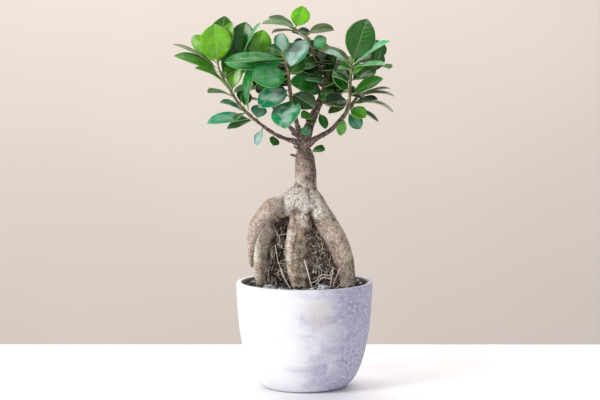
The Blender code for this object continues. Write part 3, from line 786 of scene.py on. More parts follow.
# The tone of each leaf that the CAD holds
leafTone = {
    "leaf_left_1": "teal", "leaf_left_2": "blue", "leaf_left_3": "pale", "leaf_left_4": "clear",
    "leaf_left_5": "grass", "leaf_left_6": "grass", "leaf_left_7": "olive",
    "leaf_left_8": "fresh", "leaf_left_9": "lime", "leaf_left_10": "deep",
    "leaf_centre_1": "clear", "leaf_centre_2": "shine", "leaf_centre_3": "shine",
    "leaf_centre_4": "clear", "leaf_centre_5": "shine", "leaf_centre_6": "dark",
    "leaf_main_1": "mid", "leaf_top_1": "sun", "leaf_top_2": "olive", "leaf_top_3": "mid",
    "leaf_top_4": "olive", "leaf_top_5": "white", "leaf_upper_left_1": "deep",
    "leaf_upper_left_2": "fresh", "leaf_upper_left_3": "mint", "leaf_right_1": "deep",
    "leaf_right_2": "mint", "leaf_right_3": "mint", "leaf_right_4": "blue",
    "leaf_right_5": "mid", "leaf_right_6": "dark", "leaf_right_7": "deep",
    "leaf_far_right_1": "deep", "leaf_far_right_2": "brown", "leaf_far_right_3": "brown",
    "leaf_back_left_1": "mid", "leaf_back_left_2": "grass", "leaf_back_right_1": "deep",
    "leaf_back_right_2": "deep", "leaf_back_1": "mid", "leaf_back_2": "deep",
    "leaf_trunk": "deep",
}
# More leaves of the crown: stem, height on it, tip, way its face looks, width, bow, tone
moreLeaves = [
    ("branch_left", 334, (-73, -26, 375), (-0.1, -0.9, 0.3), 13, 25, "lime"),
    ("branch_left", 305, (-68, -8, 341), (-0.2, -0.95, 0.1), 17, 15, "fresh"),
    ("branch_left", 277, (-79, -12, 267), (0.0, -0.6, 0.8), 11, 25, "deep"),
    ("branch_left", 284, (-71, -30, 276), (0.1, 0.1, 1.0), 9, 40, "mid"),
    ("branch_left", 262, (-32, -15, 250), (0.7, -0.7, 0.0), 13, 20, "deep"),
    ("branch_left", 288, (-58, -12, 305), (0.4, -0.8, 0.2), 11, 20, "deep"),
    ("branch_left", 300, (-99, 6, 303), (0.0, 0.4, 0.9), 17, 30, "mid"),
    ("branch_left", 318, (-66, 12, 328), (0.2, 0.6, 0.8), 18, 25, "grass"),
    ("twig_upper_left", 331, (-36, 18, 343), (0.1, 0.6, 0.8), 18, 25, "mid"),
    ("twig_upper_left", 322, (-32, 10, 308), (0.1, 0.7, 0.5), 18, 30, "deep"),
    ("twig_upper_left", 334, (-88, 6, 350), (-0.2, 0.6, 0.7), 15, 25, "grass"),
    ("twig_top", 367, (6, -6, 363), (0.2, -0.7, 0.7), 9, 25, "dark"),
    ("twig_top", 366, (-33, -20, 364), (0.0, -0.15, 1.0), 12, 30, "brown"),
    ("twig_top", 346, (15, 3, 353), (-0.2, -0.9, 0.4), 15, 20, "deep"),
    ("twig_top", 349, (22, -2, 359), (0.1, -0.9, 0.4), 12, 15, "mint"),
    ("twig_top", 326, (-8, -8, 330), (0.0, -0.8, 0.6), 17, 30, "dark"),
    ("twig_top", 354, (-12, 24, 364), (0.0, 0.5, 0.9), 17, 30, "mid"),
    ("twig_top", 340, (22, 26, 350), (0.3, 0.6, 0.8), 18, 25, "grass"),
    ("twig_top", 333, (38, 6, 340), (-0.1, -0.7, 0.7), 17, 35, "dark"),
    ("twig_top", 341, (-17, 6, 334), (-0.3, -0.7, 0.6), 17, 25, "deep"),
    ("branch_main", 318, (1, -16, 317), (-0.1, -0.8, 0.6), 17, 30, "teal"),
    ("branch_main", 300, (-5, 10, 312), (-0.3, -0.7, 0.6), 18, 25, "dark"),
    ("branch_main", 312, (46, 4, 319), (0.1, -0.8, 0.6), 18, 30, "dark"),
    ("branch_main", 325, (32, -8, 341), (0.0, -0.8, 0.5), 16, 20, "dark"),
    ("branch_main", 328, (44, 14, 330), (0.2, -0.5, 0.8), 17, 25, "deep"),
    ("branch_main", 284, (22, 0, 266), (0.3, -0.8, 0.4), 9, 20, "mid"),
    ("branch_main", 292, (36, 0, 300), (-0.1, -0.9, 0.4), 16, 20, "dark"),
    ("branch_main", 306, (24, -14, 296), (-0.2, -0.9, 0.4), 15, 25, "deep"),
    ("branch_centre", 268, (6, -14, 262), (0.1, -0.8, 0.6), 10, 30, "mint"),
    ("branch_centre", 306, (-42, -6, 300), (-0.2, -0.7, 0.6), 16, 25, "deep"),
    ("branch_centre", 322, (-2, -14, 338), (0.1, -0.9, 0.4), 15, 20, "deep"),
    ("branch_centre", 340, (-34, -8, 352), (-0.2, -0.6, 0.8), 14, 25, "mid"),
    ("branch_right", 335, (14, -8, 347), (0.0, -0.5, 0.9), 14, 45, "olive"),
    ("branch_right", 323, (59, -24, 330), (0.2, -0.7, 0.7), 11, 25, "grass"),
    ("branch_right", 333, (67, -4, 343), (0.2, -0.7, 0.7), 13, 20, "dark"),
    ("branch_right", 288, (62, -22, 279), (0.3, -0.8, 0.4), 14, 25, "grass"),
    ("branch_right", 279, (36, -16, 260), (-0.2, -0.9, 0.1), 9, 15, "grass"),
    ("branch_right", 284, (57, -16, 267), (0.2, -0.9, 0.2), 13, 15, "teal"),
    ("branch_right", 291, (24, -24, 283), (0.0, -0.6, 0.8), 10, 30, "olive"),
    ("branch_right", 316, (70, 8, 322), (0.0, -0.6, 0.8), 15, 25, "dark"),
    ("branch_right", 308, (28, 4, 304), (-0.2, -0.8, 0.5), 16, 25, "dark"),
    ("twig_far_right", 300, (87, -8, 308), (0.1, -0.2, 1.0), 9, 30, "olive"),
    ("twig_far_right", 292, (74, -20, 297), (0.0, -0.5, 0.9), 13, 25, "dark"),
    ("twig_far_right", 287, (75, -14, 274), (0.5, -0.4, 0.8), 9, 30, "olive"),
    ("twig_far_right", 322, (58, 30, 337), (0.0, 0.6, 0.8), 18, 25, "mid"),
    ("twig_far_right", 330, (88, 22, 327), (0.3, 0.5, 0.8), 15, 35, "grass"),
    ("branch_back_left", 281, (-32, 54, 288), (0.1, 0.6, 0.8), 18, 30, "mid"),
    ("branch_back_left", 288, (-62, 30, 296), (-0.4, -0.1, 0.9), 18, 30, "deep"),
    ("branch_back_left", 300, (-22, 62, 310), (0.3, 0.7, 0.6), 19, 25, "grass"),
    ("branch_back_left", 306, (-74, 44, 302), (-0.4, 0.4, 0.8), 18, 35, "mid"),
    ("branch_back_left", 316, (-44, 66, 334), (0.1, 0.8, 0.5), 18, 25, "teal"),
    ("twig_back_right", 301, (66, 38, 300), (0.5, 0.2, 0.8), 18, 30, "mid"),
    ("twig_back_right", 308, (26, 62, 308), (-0.2, 0.7, 0.7), 19, 30, "deep"),
    ("twig_back_right", 318, (64, 66, 331), (0.4, 0.6, 0.7), 18, 25, "grass"),
    ("twig_back", 318, (-26, 48, 320), (-0.3, 0.5, 0.8), 18, 30, "mid"),
    ("twig_back", 322, (34, 52, 324), (0.3, 0.6, 0.8), 18, 30, "teal"),
    ("twig_back", 336, (-24, 30, 352), (-0.3, 0.3, 0.9), 17, 25, "grass"),
    ("twig_back", 340, (20, 62, 352), (0.2, 0.7, 0.6), 18, 25, "mid"),
    ("branch_left", 322, (-70, -4, 351), (0.2, -0.9, 0.3), 15, 20, "deep"),
    ("twig_upper_left", 330, (-75, 4, 355), (-0.1, -0.9, 0.3), 14, 20, "deep"),
    ("branch_left", 275, (-46, -9, 291), (0.3, -0.9, 0.1), 15, 15, "teal"),
    ("branch_left", 292, (-61, -8, 305), (0.1, -0.9, 0.3), 12, 20, "deep"),
    ("branch_centre", 330, (-40, -2, 340), (-0.1, -0.8, 0.6), 18, 25, "dark"),
    ("branch_centre", 300, (-43, 0, 306), (-0.2, -0.8, 0.5), 18, 25, "deep"),
    ("branch_centre", 312, (-33, 6, 328), (-0.2, -0.8, 0.5), 18, 25, "deep"),
    ("branch_main", 333, (-7, -6, 334), (0.0, -0.7, 0.7), 15, 30, "olive"),
    ("branch_main", 322, (-2, 0, 323), (-0.1, -0.8, 0.6), 17, 25, "dark"),
    ("twig_top", 345, (30, 8, 340), (0.1, -0.8, 0.5), 18, 25, "dark"),
    ("twig_top", 338, (12, 10, 357), (0.0, -0.9, 0.4), 19, 20, "dark"),
    ("twig_top", 352, (-13, 4, 347), (-0.1, -0.8, 0.5), 17, 25, "dark"),
    ("branch_main", 320, (39, 6, 328), (0.1, -0.8, 0.5), 19, 25, "dark"),
    ("branch_main", 300, (38, 8, 308), (0.1, -0.8, 0.5), 18, 25, "deep"),
    ("branch_main", 280, (-3, -10, 278), (0.0, -0.8, 0.5), 11, 25, "grass"),
    ("branch_right", 306, (28, -24, 322), (-0.1, -0.7, 0.7), 17, 30, "mid"),
    ("branch_right", 318, (37, 4, 331), (0.0, -0.8, 0.6), 18, 25, "dark"),
    ("branch_right", 316, (72, 6, 328), (0.2, -0.7, 0.7), 16, 25, "deep"),
    ("twig_far_right", 322, (74, 8, 347), (0.3, -0.7, 0.6), 18, 20, "deep"),
    ("twig_back", 328, (-1, 24, 338), (0.0, -0.5, 0.8), 20, 25, "dark"),
    ("twig_back", 318, (14, 26, 325), (0.1, -0.6, 0.7), 20, 25, "dark"),
    ("twig_back_right", 300, (34, 30, 315), (0.1, -0.6, 0.7), 20, 25, "dark"),
    ("twig_back_right", 310, (22, 28, 333), (0.0, -0.6, 0.7), 20, 25, "dark"),
    ("branch_back_left", 296, (-35, 22, 316), (0.1, -0.7, 0.6), 20, 25, "dark"),
    ("branch_back_left", 305, (-48, 24, 331), (0.0, -0.7, 0.6), 20, 25, "deep"),
    ("branch_left", 333, (-82, 4, 378), (0.0, -0.9, 0.4), 23, 20, "deep"),
    ("branch_centre", 334, (-79, -28, 333), (0.0, -0.9, 0.5), 17, 20, "clear"),
    ("branch_centre", 318, (-46, -22, 310), (0.1, -0.8, 0.5), 15, 25, "mid"),
    ("twig_top", 335, (-7, -16, 328), (0.0, -0.7, 0.7), 16, 30, "mid"),
    ("branch_main", 324, (-2, -12, 320), (-0.1, -0.8, 0.6), 17, 25, "deep"),
    ("branch_main", 330, (30, -8, 326), (0.1, -0.8, 0.5), 18, 30, "deep"),
    ("branch_main", 312, (30, -8, 313), (0.1, -0.8, 0.5), 17, 25, "deep"),
    ("twig_top", 345, (17, 10, 340), (0.1, -0.7, 0.6), 20, 25, "dark"),
    ("twig_back", 330, (11, 14, 327), (0.1, -0.7, 0.6), 22, 25, "dark"),
    ("twig_back", 322, (-1, 12, 334), (0.0, -0.7, 0.6), 22, 25, "dark"),
    ("branch_main", 328, (6, 12, 339), (0.0, -0.8, 0.5), 20, 25, "dark"),
    ("branch_centre", 334, (-28, 8, 342), (-0.1, -0.8, 0.5), 20, 25, "dark"),
    ("branch_centre", 322, (-27, 8, 326), (-0.1, -0.8, 0.5), 19, 25, "dark"),
    ("branch_centre", 310, (-32, 6, 316), (-0.1, -0.8, 0.5), 19, 25, "dark"),
    ("branch_back_left", 300, (-42, 18, 321), (0.0, -0.7, 0.6), 22, 25, "dark"),
    ("twig_back_right", 305, (21, 18, 314), (0.0, -0.7, 0.6), 22, 25, "dark"),
    ("branch_right", 322, (58, 8, 323), (0.1, -0.8, 0.5), 18, 25, "dark"),
    ("branch_right", 326, (35, -6, 331), (-0.1, -0.7, 0.6), 16, 30, "deep"),
    ("branch_right", 300, (58, 4, 303), (0.1, -0.8, 0.5), 17, 25, "dark"),
    ("branch_main", 276, (6, -6, 272), (0.0, -0.8, 0.5), 10, 25, "olive"),
]


def leafOutline(share):
    places, widths = zip(*leafShape["outline"])
    return float(np.interp(share, places, widths))


def rowShare(row):
    # the rows of the blade lie closer together near its two ends
    return 0.5 - 0.5 * math.cos(math.pi * row / leafShape["along"])


def makeMasterLeaf():
    # a flat grid of rows, each row drawn in to the leaf's outline
    bpy.ops.object.select_all(action="DESELECT")
    bpy.ops.mesh.primitive_grid_add(x_subdivisions=leafShape["across"],
                                    y_subdivisions=leafShape["along"], size=2,
                                    location=(0, 0, 0))
    leaf = bpy.context.active_object
    leaf.name = "master_leaf"
    rows = leafShape["along"]
    bpy.ops.object.mode_set(mode="EDIT")
    for row in range(rows + 1):
        level = -1 + 2 * row / rows
        bpy.ops.mesh.select_all(action="DESELECT")
        bpy.ops.object.mode_set(mode="OBJECT")
        for vert in leaf.data.vertices:
            vert.select = abs(vert.co.y - level) < 0.001
        bpy.ops.object.mode_set(mode="EDIT")
        width = leafOutline(rowShare(row))
        bpy.ops.transform.resize(value=(width, 1, 1), center_override=(0, level, 0))
        bpy.ops.transform.translate(value=(0, 2 * rowShare(row) - 1 - level, 0))
    bpy.ops.object.mode_set(mode="OBJECT")
    return leaf


def arcFrame(pose, share):
    # on the leaf's arc, which bulges towards its face: place, way ahead, way up
    start, tip, face, _, bow = pose
    chord = tip - start
    ahead = chord.normalized()
    up = (face - face.dot(ahead) * ahead).normalized()
    half = math.radians(max(bow, 2)) / 2
    radius = chord.length / (2 * math.sin(half))
    turn = half * (2 * share - 1)
    place = (start + tip) / 2 + radius * math.sin(turn) * ahead
    place += radius * (math.cos(turn) - math.cos(half)) * up
    return (place, math.cos(turn) * ahead - math.sin(turn) * up,
            math.sin(turn) * ahead + math.cos(turn) * up)


def measureLeaf(node):
    # start, tip, way up, width and bow of a CAD leaf, read from its rings
    copy = copyOfNode(node, "measure")
    points = getPoints(copy.data)
    middle = points.mean(axis=0)
    _, _, axes = np.linalg.svd(points - middle)
    reach = (points - middle) @ axes[0]
    ends = [points[reach.argmin()], points[reach.argmax()]]
    crowd = [(np.linalg.norm(points - end, axis=1) < 0.0018).sum() for end in ends]
    tip = ends[int(crowd[1] < crowd[0])]
    tipIndex = int(np.linalg.norm(points - tip, axis=1).argmin())
    rings = ringsFrom(copy.data, [tipIndex])[1:]
    bpy.data.objects.remove(copy)
    whole = [points[ring] for ring in rings if len(ring) == 8]
    start = points[rings[-1]].mean(axis=0)
    widths = []
    ups = []
    for ring in whole[:6]:
        gaps = np.linalg.norm(ring[:, None] - ring[None], axis=2)
        a, b = np.unravel_index(gaps.argmax(), gaps.shape)
        side = (ring[b] - ring[a]) / gaps[a, b]
        rimMiddle = (ring[a] + ring[b]) / 2
        near = np.argsort(np.abs((ring - rimMiddle) @ side))[:2]
        centre = ring[near].mean(axis=0)
        widths.append(gaps[a, b])
        ups.append((rimMiddle - centre, centre))
    best = int(np.argmax(widths))
    up, centre = ups[best]
    chord = tip - start
    length = np.linalg.norm(chord)
    ahead = chord / length
    up = up - (up @ ahead) * ahead
    up = up / np.linalg.norm(up)
    share = float((centre - start) @ ahead / length)
    rise = float((centre - start) @ up) + 0.25 * mm
    bow = 2.0
    while bow < 110:  # the bow whose arc passes through the widest ring
        half = math.radians(bow) / 2
        radius = length / (2 * math.sin(half))
        turn = math.asin(max(-1, min(1, (share - 0.5) * length / radius)))
        if radius * (math.cos(turn) - math.cos(half)) > rise:
            break
        bow += 1
    return Vector(start), Vector(tip), Vector(up), float(max(widths)), bow


def poseOf(lines, stem, height, tip, face, width, bow):
    # a leaf that grows from the side of its stem
    centre, radius, ahead = lineAt(lines[stem], height * mm)
    tip = Vector(tip) * mm
    face = Vector(face)
    along = arcFrame((centre, tip, face, width, bow), 0)[1]
    outward = (along - along.dot(ahead) * ahead).normalized()
    return centre + outward * radius * 0.9, tip, face, width * mm, bow


def leafFinish(name, below=False):
    # Fig leaf: leathery and waxed above, paler and duller below; light midrib and side veins,
    # and some of the light that falls on one side passes through; painted sheen above, and a
    # painted highlight on the rim
    finish, shader, add = newFinish(name, 0.5 if below else 0.3, 1.38)
    shader.inputs["Coat Weight"].default_value = 0.0 if below else 0.3
    shader.inputs["Coat Roughness"].default_value = 0.14
    place = add("Attribute", attribute_name="leafPlace")
    green = add("Attribute", attribute_name="leafGreen")
    green, sheenShare = green.outputs["Color"], green.outputs["Alpha"]
    parts = add("SeparateXYZ", place.outputs["Vector"])
    coords = add("TexCoord").outputs["Object"]
    side = add("Math ABSOLUTE", parts.outputs["X"])
    along = parts.outputs["Y"]
    # side veins leave the midrib and sweep towards the tip
    swept = add("Math SUBTRACT", along, add("Math MULTIPLY", side, 0.21))
    wave = add("Math PINGPONG", add("Math MULTIPLY", swept, leafShape["sideVeins"]), 0.5)
    vein = add("MapRange SMOOTHSTEP", wave, 0.0, 0.11, 1.0, 0.0)
    vein = add("Math MULTIPLY", vein, add("Math SUBTRACT", 1.0, side, use_clamp=True))
    midrib = add("MapRange SMOOTHSTEP", side, 0.01, 0.055, 1.0, 0.0)
    edge = add("MapRange SMOOTHSTEP", parts.outputs["Z"], 0.93, 1.0)
    mottle = add("TexNoise", coords, Scale=150, Detail=3, Roughness=0.6)
    value = add("MapRange", mottle, 0.3, 0.7, 0.78, 1.22)
    tone = add("HueSaturation", Color=green, Value=value, Saturation=0.85 if below else 1.25)
    if below:
        tone = add("Mix", 0.3, tone, linear("#7f8a62"))
    else:
        # painted sheen: a whitish blue-green lies in smears on each half of the blade and fades
        # towards the rim
        smear = add("TexNoise", coords, Scale=62, Detail=3, Roughness=0.5, Distortion=0.8)
        lying = add("MapRange SMOOTHSTEP", smear, 0.36, 0.62)
        middle = add("MapRange SMOOTHSTEP", parts.outputs["Z"], 0.45, 0.95, 1.0, 0.15)
        sheenMask = add("Math MULTIPLY", add("Math MULTIPLY", lying, middle), sheenShare, use_clamp=True)
        tone = add("Mix", add("Math MULTIPLY", sheenMask, 0.8), tone, linear("#d3e8e4"))
    veinShare = add("Math MULTIPLY", vein, 0.45 if below else 0.22)
    light = add("Mix", 0.5, tone, linear("#cfe0a0"))
    tone = add("Mix", veinShare, tone, light)
    tone = add("Mix", add("Math MULTIPLY", midrib, 0.5), tone, light)
    # painted highlight: the rim of the blade is painted pale
    tone = add("Mix", add("Math MULTIPLY", edge, 0.75), tone, light)
    height = add("Math SUBTRACT", add("Math MULTIPLY", mottle, 0.25),
                 add("Math ADD", add("Math MULTIPLY", vein, 0.55), midrib))
    if below:
        height = add("Math MULTIPLY", height, -1.0)
    bump = add("Bump", Strength=0.35, Distance=0.0004, Height=height)
    through = add("BsdfTranslucent", add("HueSaturation", Color=tone, Hue=0.475, Saturation=1.25,
                                         Value=1.5))
    both = add("MixShader", 0.24, shader.outputs[0], through)
    connect(finish, shader.inputs["Base Color"], tone)
    connect(finish, shader.inputs["Normal"], bump)
    connect(finish, finish.node_tree.nodes["Material Output"].inputs["Surface"], both)
    return finish


def leafEdgeFinish():
    # painted highlight: the thin rim of the blade is painted pale
    finish, shader, add = newFinish("fig_leaf_rim", 0.5, 1.45)
    green = add("Attribute", attribute_name="leafGreen").outputs["Color"]
    tone = add("Mix", 0.6, green, linear("#dcebb4"))
    connect(finish, shader.inputs["Base Color"], tone)
    return finish


def stalkFinish():
    # leaf stalks and midribs: smooth pale green
    finish, shader, add = newFinish("fig_leaf_stalk", 0.5)
    coords = add("TexCoord").outputs["Object"]
    cloud = add("TexNoise", coords, Scale=260, Detail=3)
    tone = add("ValToRGB", cloud, stops=[(0.35, "#6f8f3e"), (0.5, "#93ad58"), (0.65, "#b8c982")])
    connect(finish, shader.inputs["Base Color"], tone)
    return finish


def layLeaf(master, pose, dice):
    # the master leaf's points carried onto one leaf's arc
    start, tip, _, width, _ = pose
    length = (tip - start).length
    stalk = min(leafShape["stalk"] * mm / length, 0.3)
    half = width / 2 * leafShape["broad"]
    wave = dice.uniform(0.0, 0.5) * mm
    phase = dice.uniform(0, math.tau)
    twist = dice.uniform(-0.16, 0.16)
    curl = dice.uniform(0.8, 1.2)
    laid = []
    for x, y, _ in master:
        share = (y + 1) / 2
        place, along, up = arcFrame(pose, stalk * 0.85 + (1 - stalk * 0.85) * share)
        across = along.cross(up)
        lean = twist * (share - 0.5)
        across, up = (math.cos(lean) * across + math.sin(lean) * up,
                      math.cos(lean) * up - math.sin(lean) * across)
        out = abs(x)
        rise = leafShape["fold"] * half * out ** 1.25 * curl
        rise -= 0.10 * half * out ** 4  # the rim turns down again
        rise -= leafShape["groove"] * mm * math.exp(-(out * half / (0.7 * mm)) ** 2)
        rise += wave * out * out * math.sin(phase + 9 * share + (2 if x > 0 else 0))
        laid.append(place + x * half * across + rise * up)
    return laid


def makeLeaves(lines):
    master = makeMasterLeaf()
    shape = getPoints(master.data)
    faces = [tuple(face.vertices) for face in master.data.polygons]
    rows = np.clip((shape[:, 1] + 1) / 2, 0, 1)
    outline = np.array([leafOutline(row) for row in rows])
    toRim = np.abs(shape[:, 0]) / outline
    toRim = np.maximum(toRim, np.clip((rows - 0.9) * 10, 0, 1) ** 3)
    bpy.data.objects.remove(master)
    dice = random.Random(41)
    groups = {}
    for node, tone in leafTone.items():
        group = node[5:].rstrip("0123456789").rstrip("_")
        groups.setdefault(group, []).append((measureLeaf(node), tone, node))
    for stem, height, tip, face, width, bow, tone in moreLeaves:
        group = stem.split("_", 1)[1]
        pose = poseOf(lines, stem, height, tip, face, width, bow)
        groups.setdefault(group, []).append((pose, tone, None))
    finishes = [leafFinish("fig_leaf_upper"), leafFinish("fig_leaf_lower", below=True),
                leafEdgeFinish()]
    stalks = []
    for group, leaves in groups.items():
        points = []
        polygons = []
        greens = []
        places = []
        for pose, tone, _ in leaves:
            polygons += [[len(points) + i for i in face] for face in faces]
            points += layLeaf(shape.tolist(), pose, dice)
            shade = dice.uniform(0.85, 1.15)
            warm = dice.uniform(-0.06, 0.06)
            hexColour, sheenWeight = leafTones[tone]
            red, green, blue, _ = linear(hexColour)
            # the fourth number is the weight of the painted sheen
            greens += [(red * shade * (1 + warm), green * shade, blue * shade * (1 - warm), sheenWeight)
                       ] * len(shape)
            places += [(x, row, rim) for (x, _, _), row, rim in zip(shape, rows, toRim)]
            length = (pose[1] - pose[0]).length
            stalk = min(leafShape["stalk"] * mm / length, 0.3)
            radius = leafShape["stalkRadius"] * mm
            line = []
            for share in (0, 0.4, 0.8, 1.0, 1.8, 3.0, 4.5, 6.0):
                at = stalk * share
                if at > 0.8:
                    break
                place, _, up = arcFrame(pose, at)
                blade = max(0, (at - stalk) / (1 - stalk))
                size = radius * (1 - 0.9 * blade ** 0.6)
                sink = 0 if at < stalk else (0.15 + leafShape["groove"]) * mm + size * 0.5
                line.append((place - up * sink, size))
            stalks.append(line)
        mesh = bpy.data.meshes.new("leaves_" + group)
        mesh.from_pydata(points, [], polygons)
        colours = mesh.attributes.new("leafGreen", "FLOAT_COLOR", "POINT")
        colours.data.foreach_set("color", np.array(greens, np.float32).ravel())
        spots = mesh.attributes.new("leafPlace", "FLOAT_VECTOR", "POINT")
        spots.data.foreach_set("vector", np.array(places, np.float32).ravel())
        piece = newPiece("leaves_" + group, mesh)
        for finish in finishes:
            mesh.materials.append(finish)
        addModifier(piece, "SOLIDIFY", thickness=leafShape["thickness"] * mm, offset=-1,
                    material_offset=1, material_offset_rim=2)
        finishPiece(piece, finishes, "leaf", *[node for _, _, node in leaves if node])
    piece = tubesFrom("leaf_stalks", stalks, 6)
    finishPiece(piece, [stalkFinish()], "leaf")
    print("leaves ready:", sum(len(leaves) for leaves in groups.values()))


# Soil, gravel and fine roots

soilShape = {
    "cells": 112,
    "intoWall": 2.0,    # how far the sheet reaches into the pot's wall
    "depth": 5,
    "crumbs": [(1.3, 210), (0.8, 520), (0.4, 1100)],  # height, and how many to the metre
    "loose": 420,       # bits of bark and peat that lie on top
}
# Heaps of gravel: centre, spread, count, smallest and largest stone
gravelHeaps = [((-36, -40), 6.5, 11, 1.5, 3.4), ((-24, -43), 4.5, 8, 1.4, 3.0),
               ((13, -43), 7, 14, 1.6, 3.6), ((-9, -48), 8, 9, 1.0, 2.0),
               ((3, -47), 4, 6, 1.0, 2.2), ((27, -42), 7, 8, 1.2, 2.4),
               ((-50, -22), 6, 7, 1.2, 2.4), ((52, 18), 8, 9, 1.2, 3), ((-52, 14), 8, 9, 1.2, 3),
               ((0, 52), 12, 12, 1.2, 3.2), ((-30, 46), 8, 9, 1.2, 3),
               ((34, 44), 9, 10, 1.2, 3), ((48, -30), 6, 6, 1.0, 2.2)]
# Each gap between the legs that hair roots fill: rows of height, left and right end
hairRoots = {
    "left": {"node": "fine_roots_left", "count": 420, "pale": 0.45, "deep": (-12, 10),
             "gap": [(103, -42, -14), (122, -41, -14), (142, -38, -13), (160, -34, -12),
                     (176, -28, -16)]},
    "right": {"node": "fine_roots_right", "count": 420, "pale": 0.55, "deep": (-20, 6),
              "gap": [(103, 5, 42), (120, 6, 38), (135, 7, 30), (150, 7, 21), (166, 7, 13)]},
}
# Single bare roots: points and radius
straws = [([(-3, -18, 141), (-1, -24, 136), (2, -28, 127), (5, -32, 116), (7, -34, 108)], 0.75),
          ([(6, -30, 111), (12, -33, 114), (17, -34, 120), (25, -32, 119), (30, -28, 121)], 0.55),
          ([(12, -32, 110), (18, -35, 117), (27, -36, 116)], 0.5),
          ([(29, -34, 128), (27, -38, 116), (25, -41, 103)], 0.5),
          ([(36, -26, 126), (31, -34, 115), (26, -41, 103)], 0.5),
          ([(26, -41, 104), (33, -38, 108), (38, -32, 112)], 0.45),
          ([(-24, -20, 125), (-20, -28, 115), (-14, -36, 106)], 0.5),
          ([(-30, -10, 148), (-27, -16, 132), (-22, -22, 116)], 0.45),
          ([(-34, -6, 171), (-30, -12, 165), (-27, -14, 155)], 0.35),
          ([(-39, -12, 166), (-43, -14, 160), (-46, -14, 156)], 0.4)]


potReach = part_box("pot")[1].x


def soilTop():
    # the height of the CAD's soil: at the wall, and how much higher in the middle
    points = getPoints(cadNodes["soil"].data)
    reach = np.hypot(points[:, 0], points[:, 1])
    wallTop = points[(reach > reach.max() - 0.012)][:, 2]
    edge = float(np.sort(wallTop)[-30:].mean())
    return edge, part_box("soil")[1].z - edge


def soilHeight(x, y, edge, mound):
    share = math.hypot(x, y) / potReach
    height = edge + mound * max(0, 1 - share**2)
    for size, rate in soilShape["crumbs"]:
        height += size * mm * noise.noise(Vector((x, y, 0)) * rate)
    return height


def soilFinish():
    # Damp potting soil: dark, rough crumbs of peat and bark with grey grit
    finish, shader, add = newFinish("potting_soil", 0.95)
    coords = add("TexCoord").outputs["Object"]
    crumbs = add("TexVoronoi", coords, Scale=420)
    grit = add("TexNoise", coords, Scale=700, Detail=4)
    share = add("SeparateColor", crumbs.outputs["Color"])
    tone = add("ValToRGB", share, stops=[(0.0, "#120e0c"), (0.45, "#241b15"), (0.72, "#3d3026"),
                                         (0.86, "#4b4640"), (0.95, "#8b8780"), (1.0, "#b9b4aa")])
    dark = add("Mix MULTIPLY", 0.6, tone, add("ValToRGB", grit, stops=[(0.35, "#404040"),
                                                                       (0.6, "#ffffff")]))
    bump = add("Bump", Strength=0.9, Distance=0.001, Height=grit)
    connect(finish, shader.inputs["Base Color"], dark)
    connect(finish, shader.inputs["Normal"], bump)
    return finish


def makeSoil():
    edge, mound = soilTop()
    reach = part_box("pot")[1].x - potShape["wall"] * mm + soilShape["intoWall"] * mm
    bpy.ops.object.select_all(action="DESELECT")
    bpy.ops.mesh.primitive_grid_add(x_subdivisions=soilShape["cells"],
                                    y_subdivisions=soilShape["cells"], size=2 * reach,
                                    location=(0, 0, 0))
    soil = bpy.context.active_object
    soil.name = "soil_surface"
    # the new grid is selected all over, and only the points outside the pot are to go
    bpy.context.tool_settings.mesh_select_mode = (True, False, False)
    for part in (*soil.data.edges, *soil.data.polygons):
        part.select = False
    for vert in soil.data.vertices:
        vert.select = math.hypot(vert.co.x, vert.co.y) > reach
    bpy.ops.object.mode_set(mode="EDIT")
    bpy.ops.mesh.delete(type="VERT")
    bpy.ops.object.mode_set(mode="OBJECT")
    for vert in soil.data.vertices:
        vert.co.z = soilHeight(vert.co.x, vert.co.y, edge, mound)
    addModifier(soil, "SOLIDIFY", thickness=soilShape["depth"] * mm, offset=-1)
    finishPiece(soil, [soilFinish()], "soil", "soil")
    print("soil ready")
    return edge, mound


def gravelFinish():
    # Crushed granite: grey-blue and white grains with dark specks, matt and gritty; stones
    # whose tone is below zero are bits of bark
    finish, shader, add = newFinish("crushed_granite", 0.8)
    coords = add("TexCoord").outputs["Object"]
    stone = add("Attribute", attribute_name="stoneTone").outputs["Fac"]
    grains = add("TexVoronoi", coords, Scale=1100)
    grain = add("SeparateColor", grains.outputs["Color"])
    mixed = add("Math MULTIPLY_ADD", grain, 0.7, add("Math MULTIPLY", stone, 0.5))
    tone = add("ValToRGB", mixed, stops=[(0.22, "#1f2026"), (0.45, "#4a4e58"), (0.68, "#838995"),
                                         (0.88, "#c9cdd5"), (1.0, "#f2efe8")])
    bark = add("ValToRGB", add("Math MULTIPLY", stone, -1.0), stops=[(0.1, "#171210"),
                                                                     (0.5, "#3a2c22"),
                                                                     (0.8, "#5d4a3a"),
                                                                     (1.0, "#8f8578")])
    loose = add("Math LESS_THAN", stone, 0.0)
    tone = add("Mix", loose, tone, bark)
    bump = add("Bump", Strength=0.6, Distance=0.0005, Height=grain)
    connect(finish, shader.inputs["Base Color"], tone)
    connect(finish, shader.inputs["Normal"], bump)
    return finish


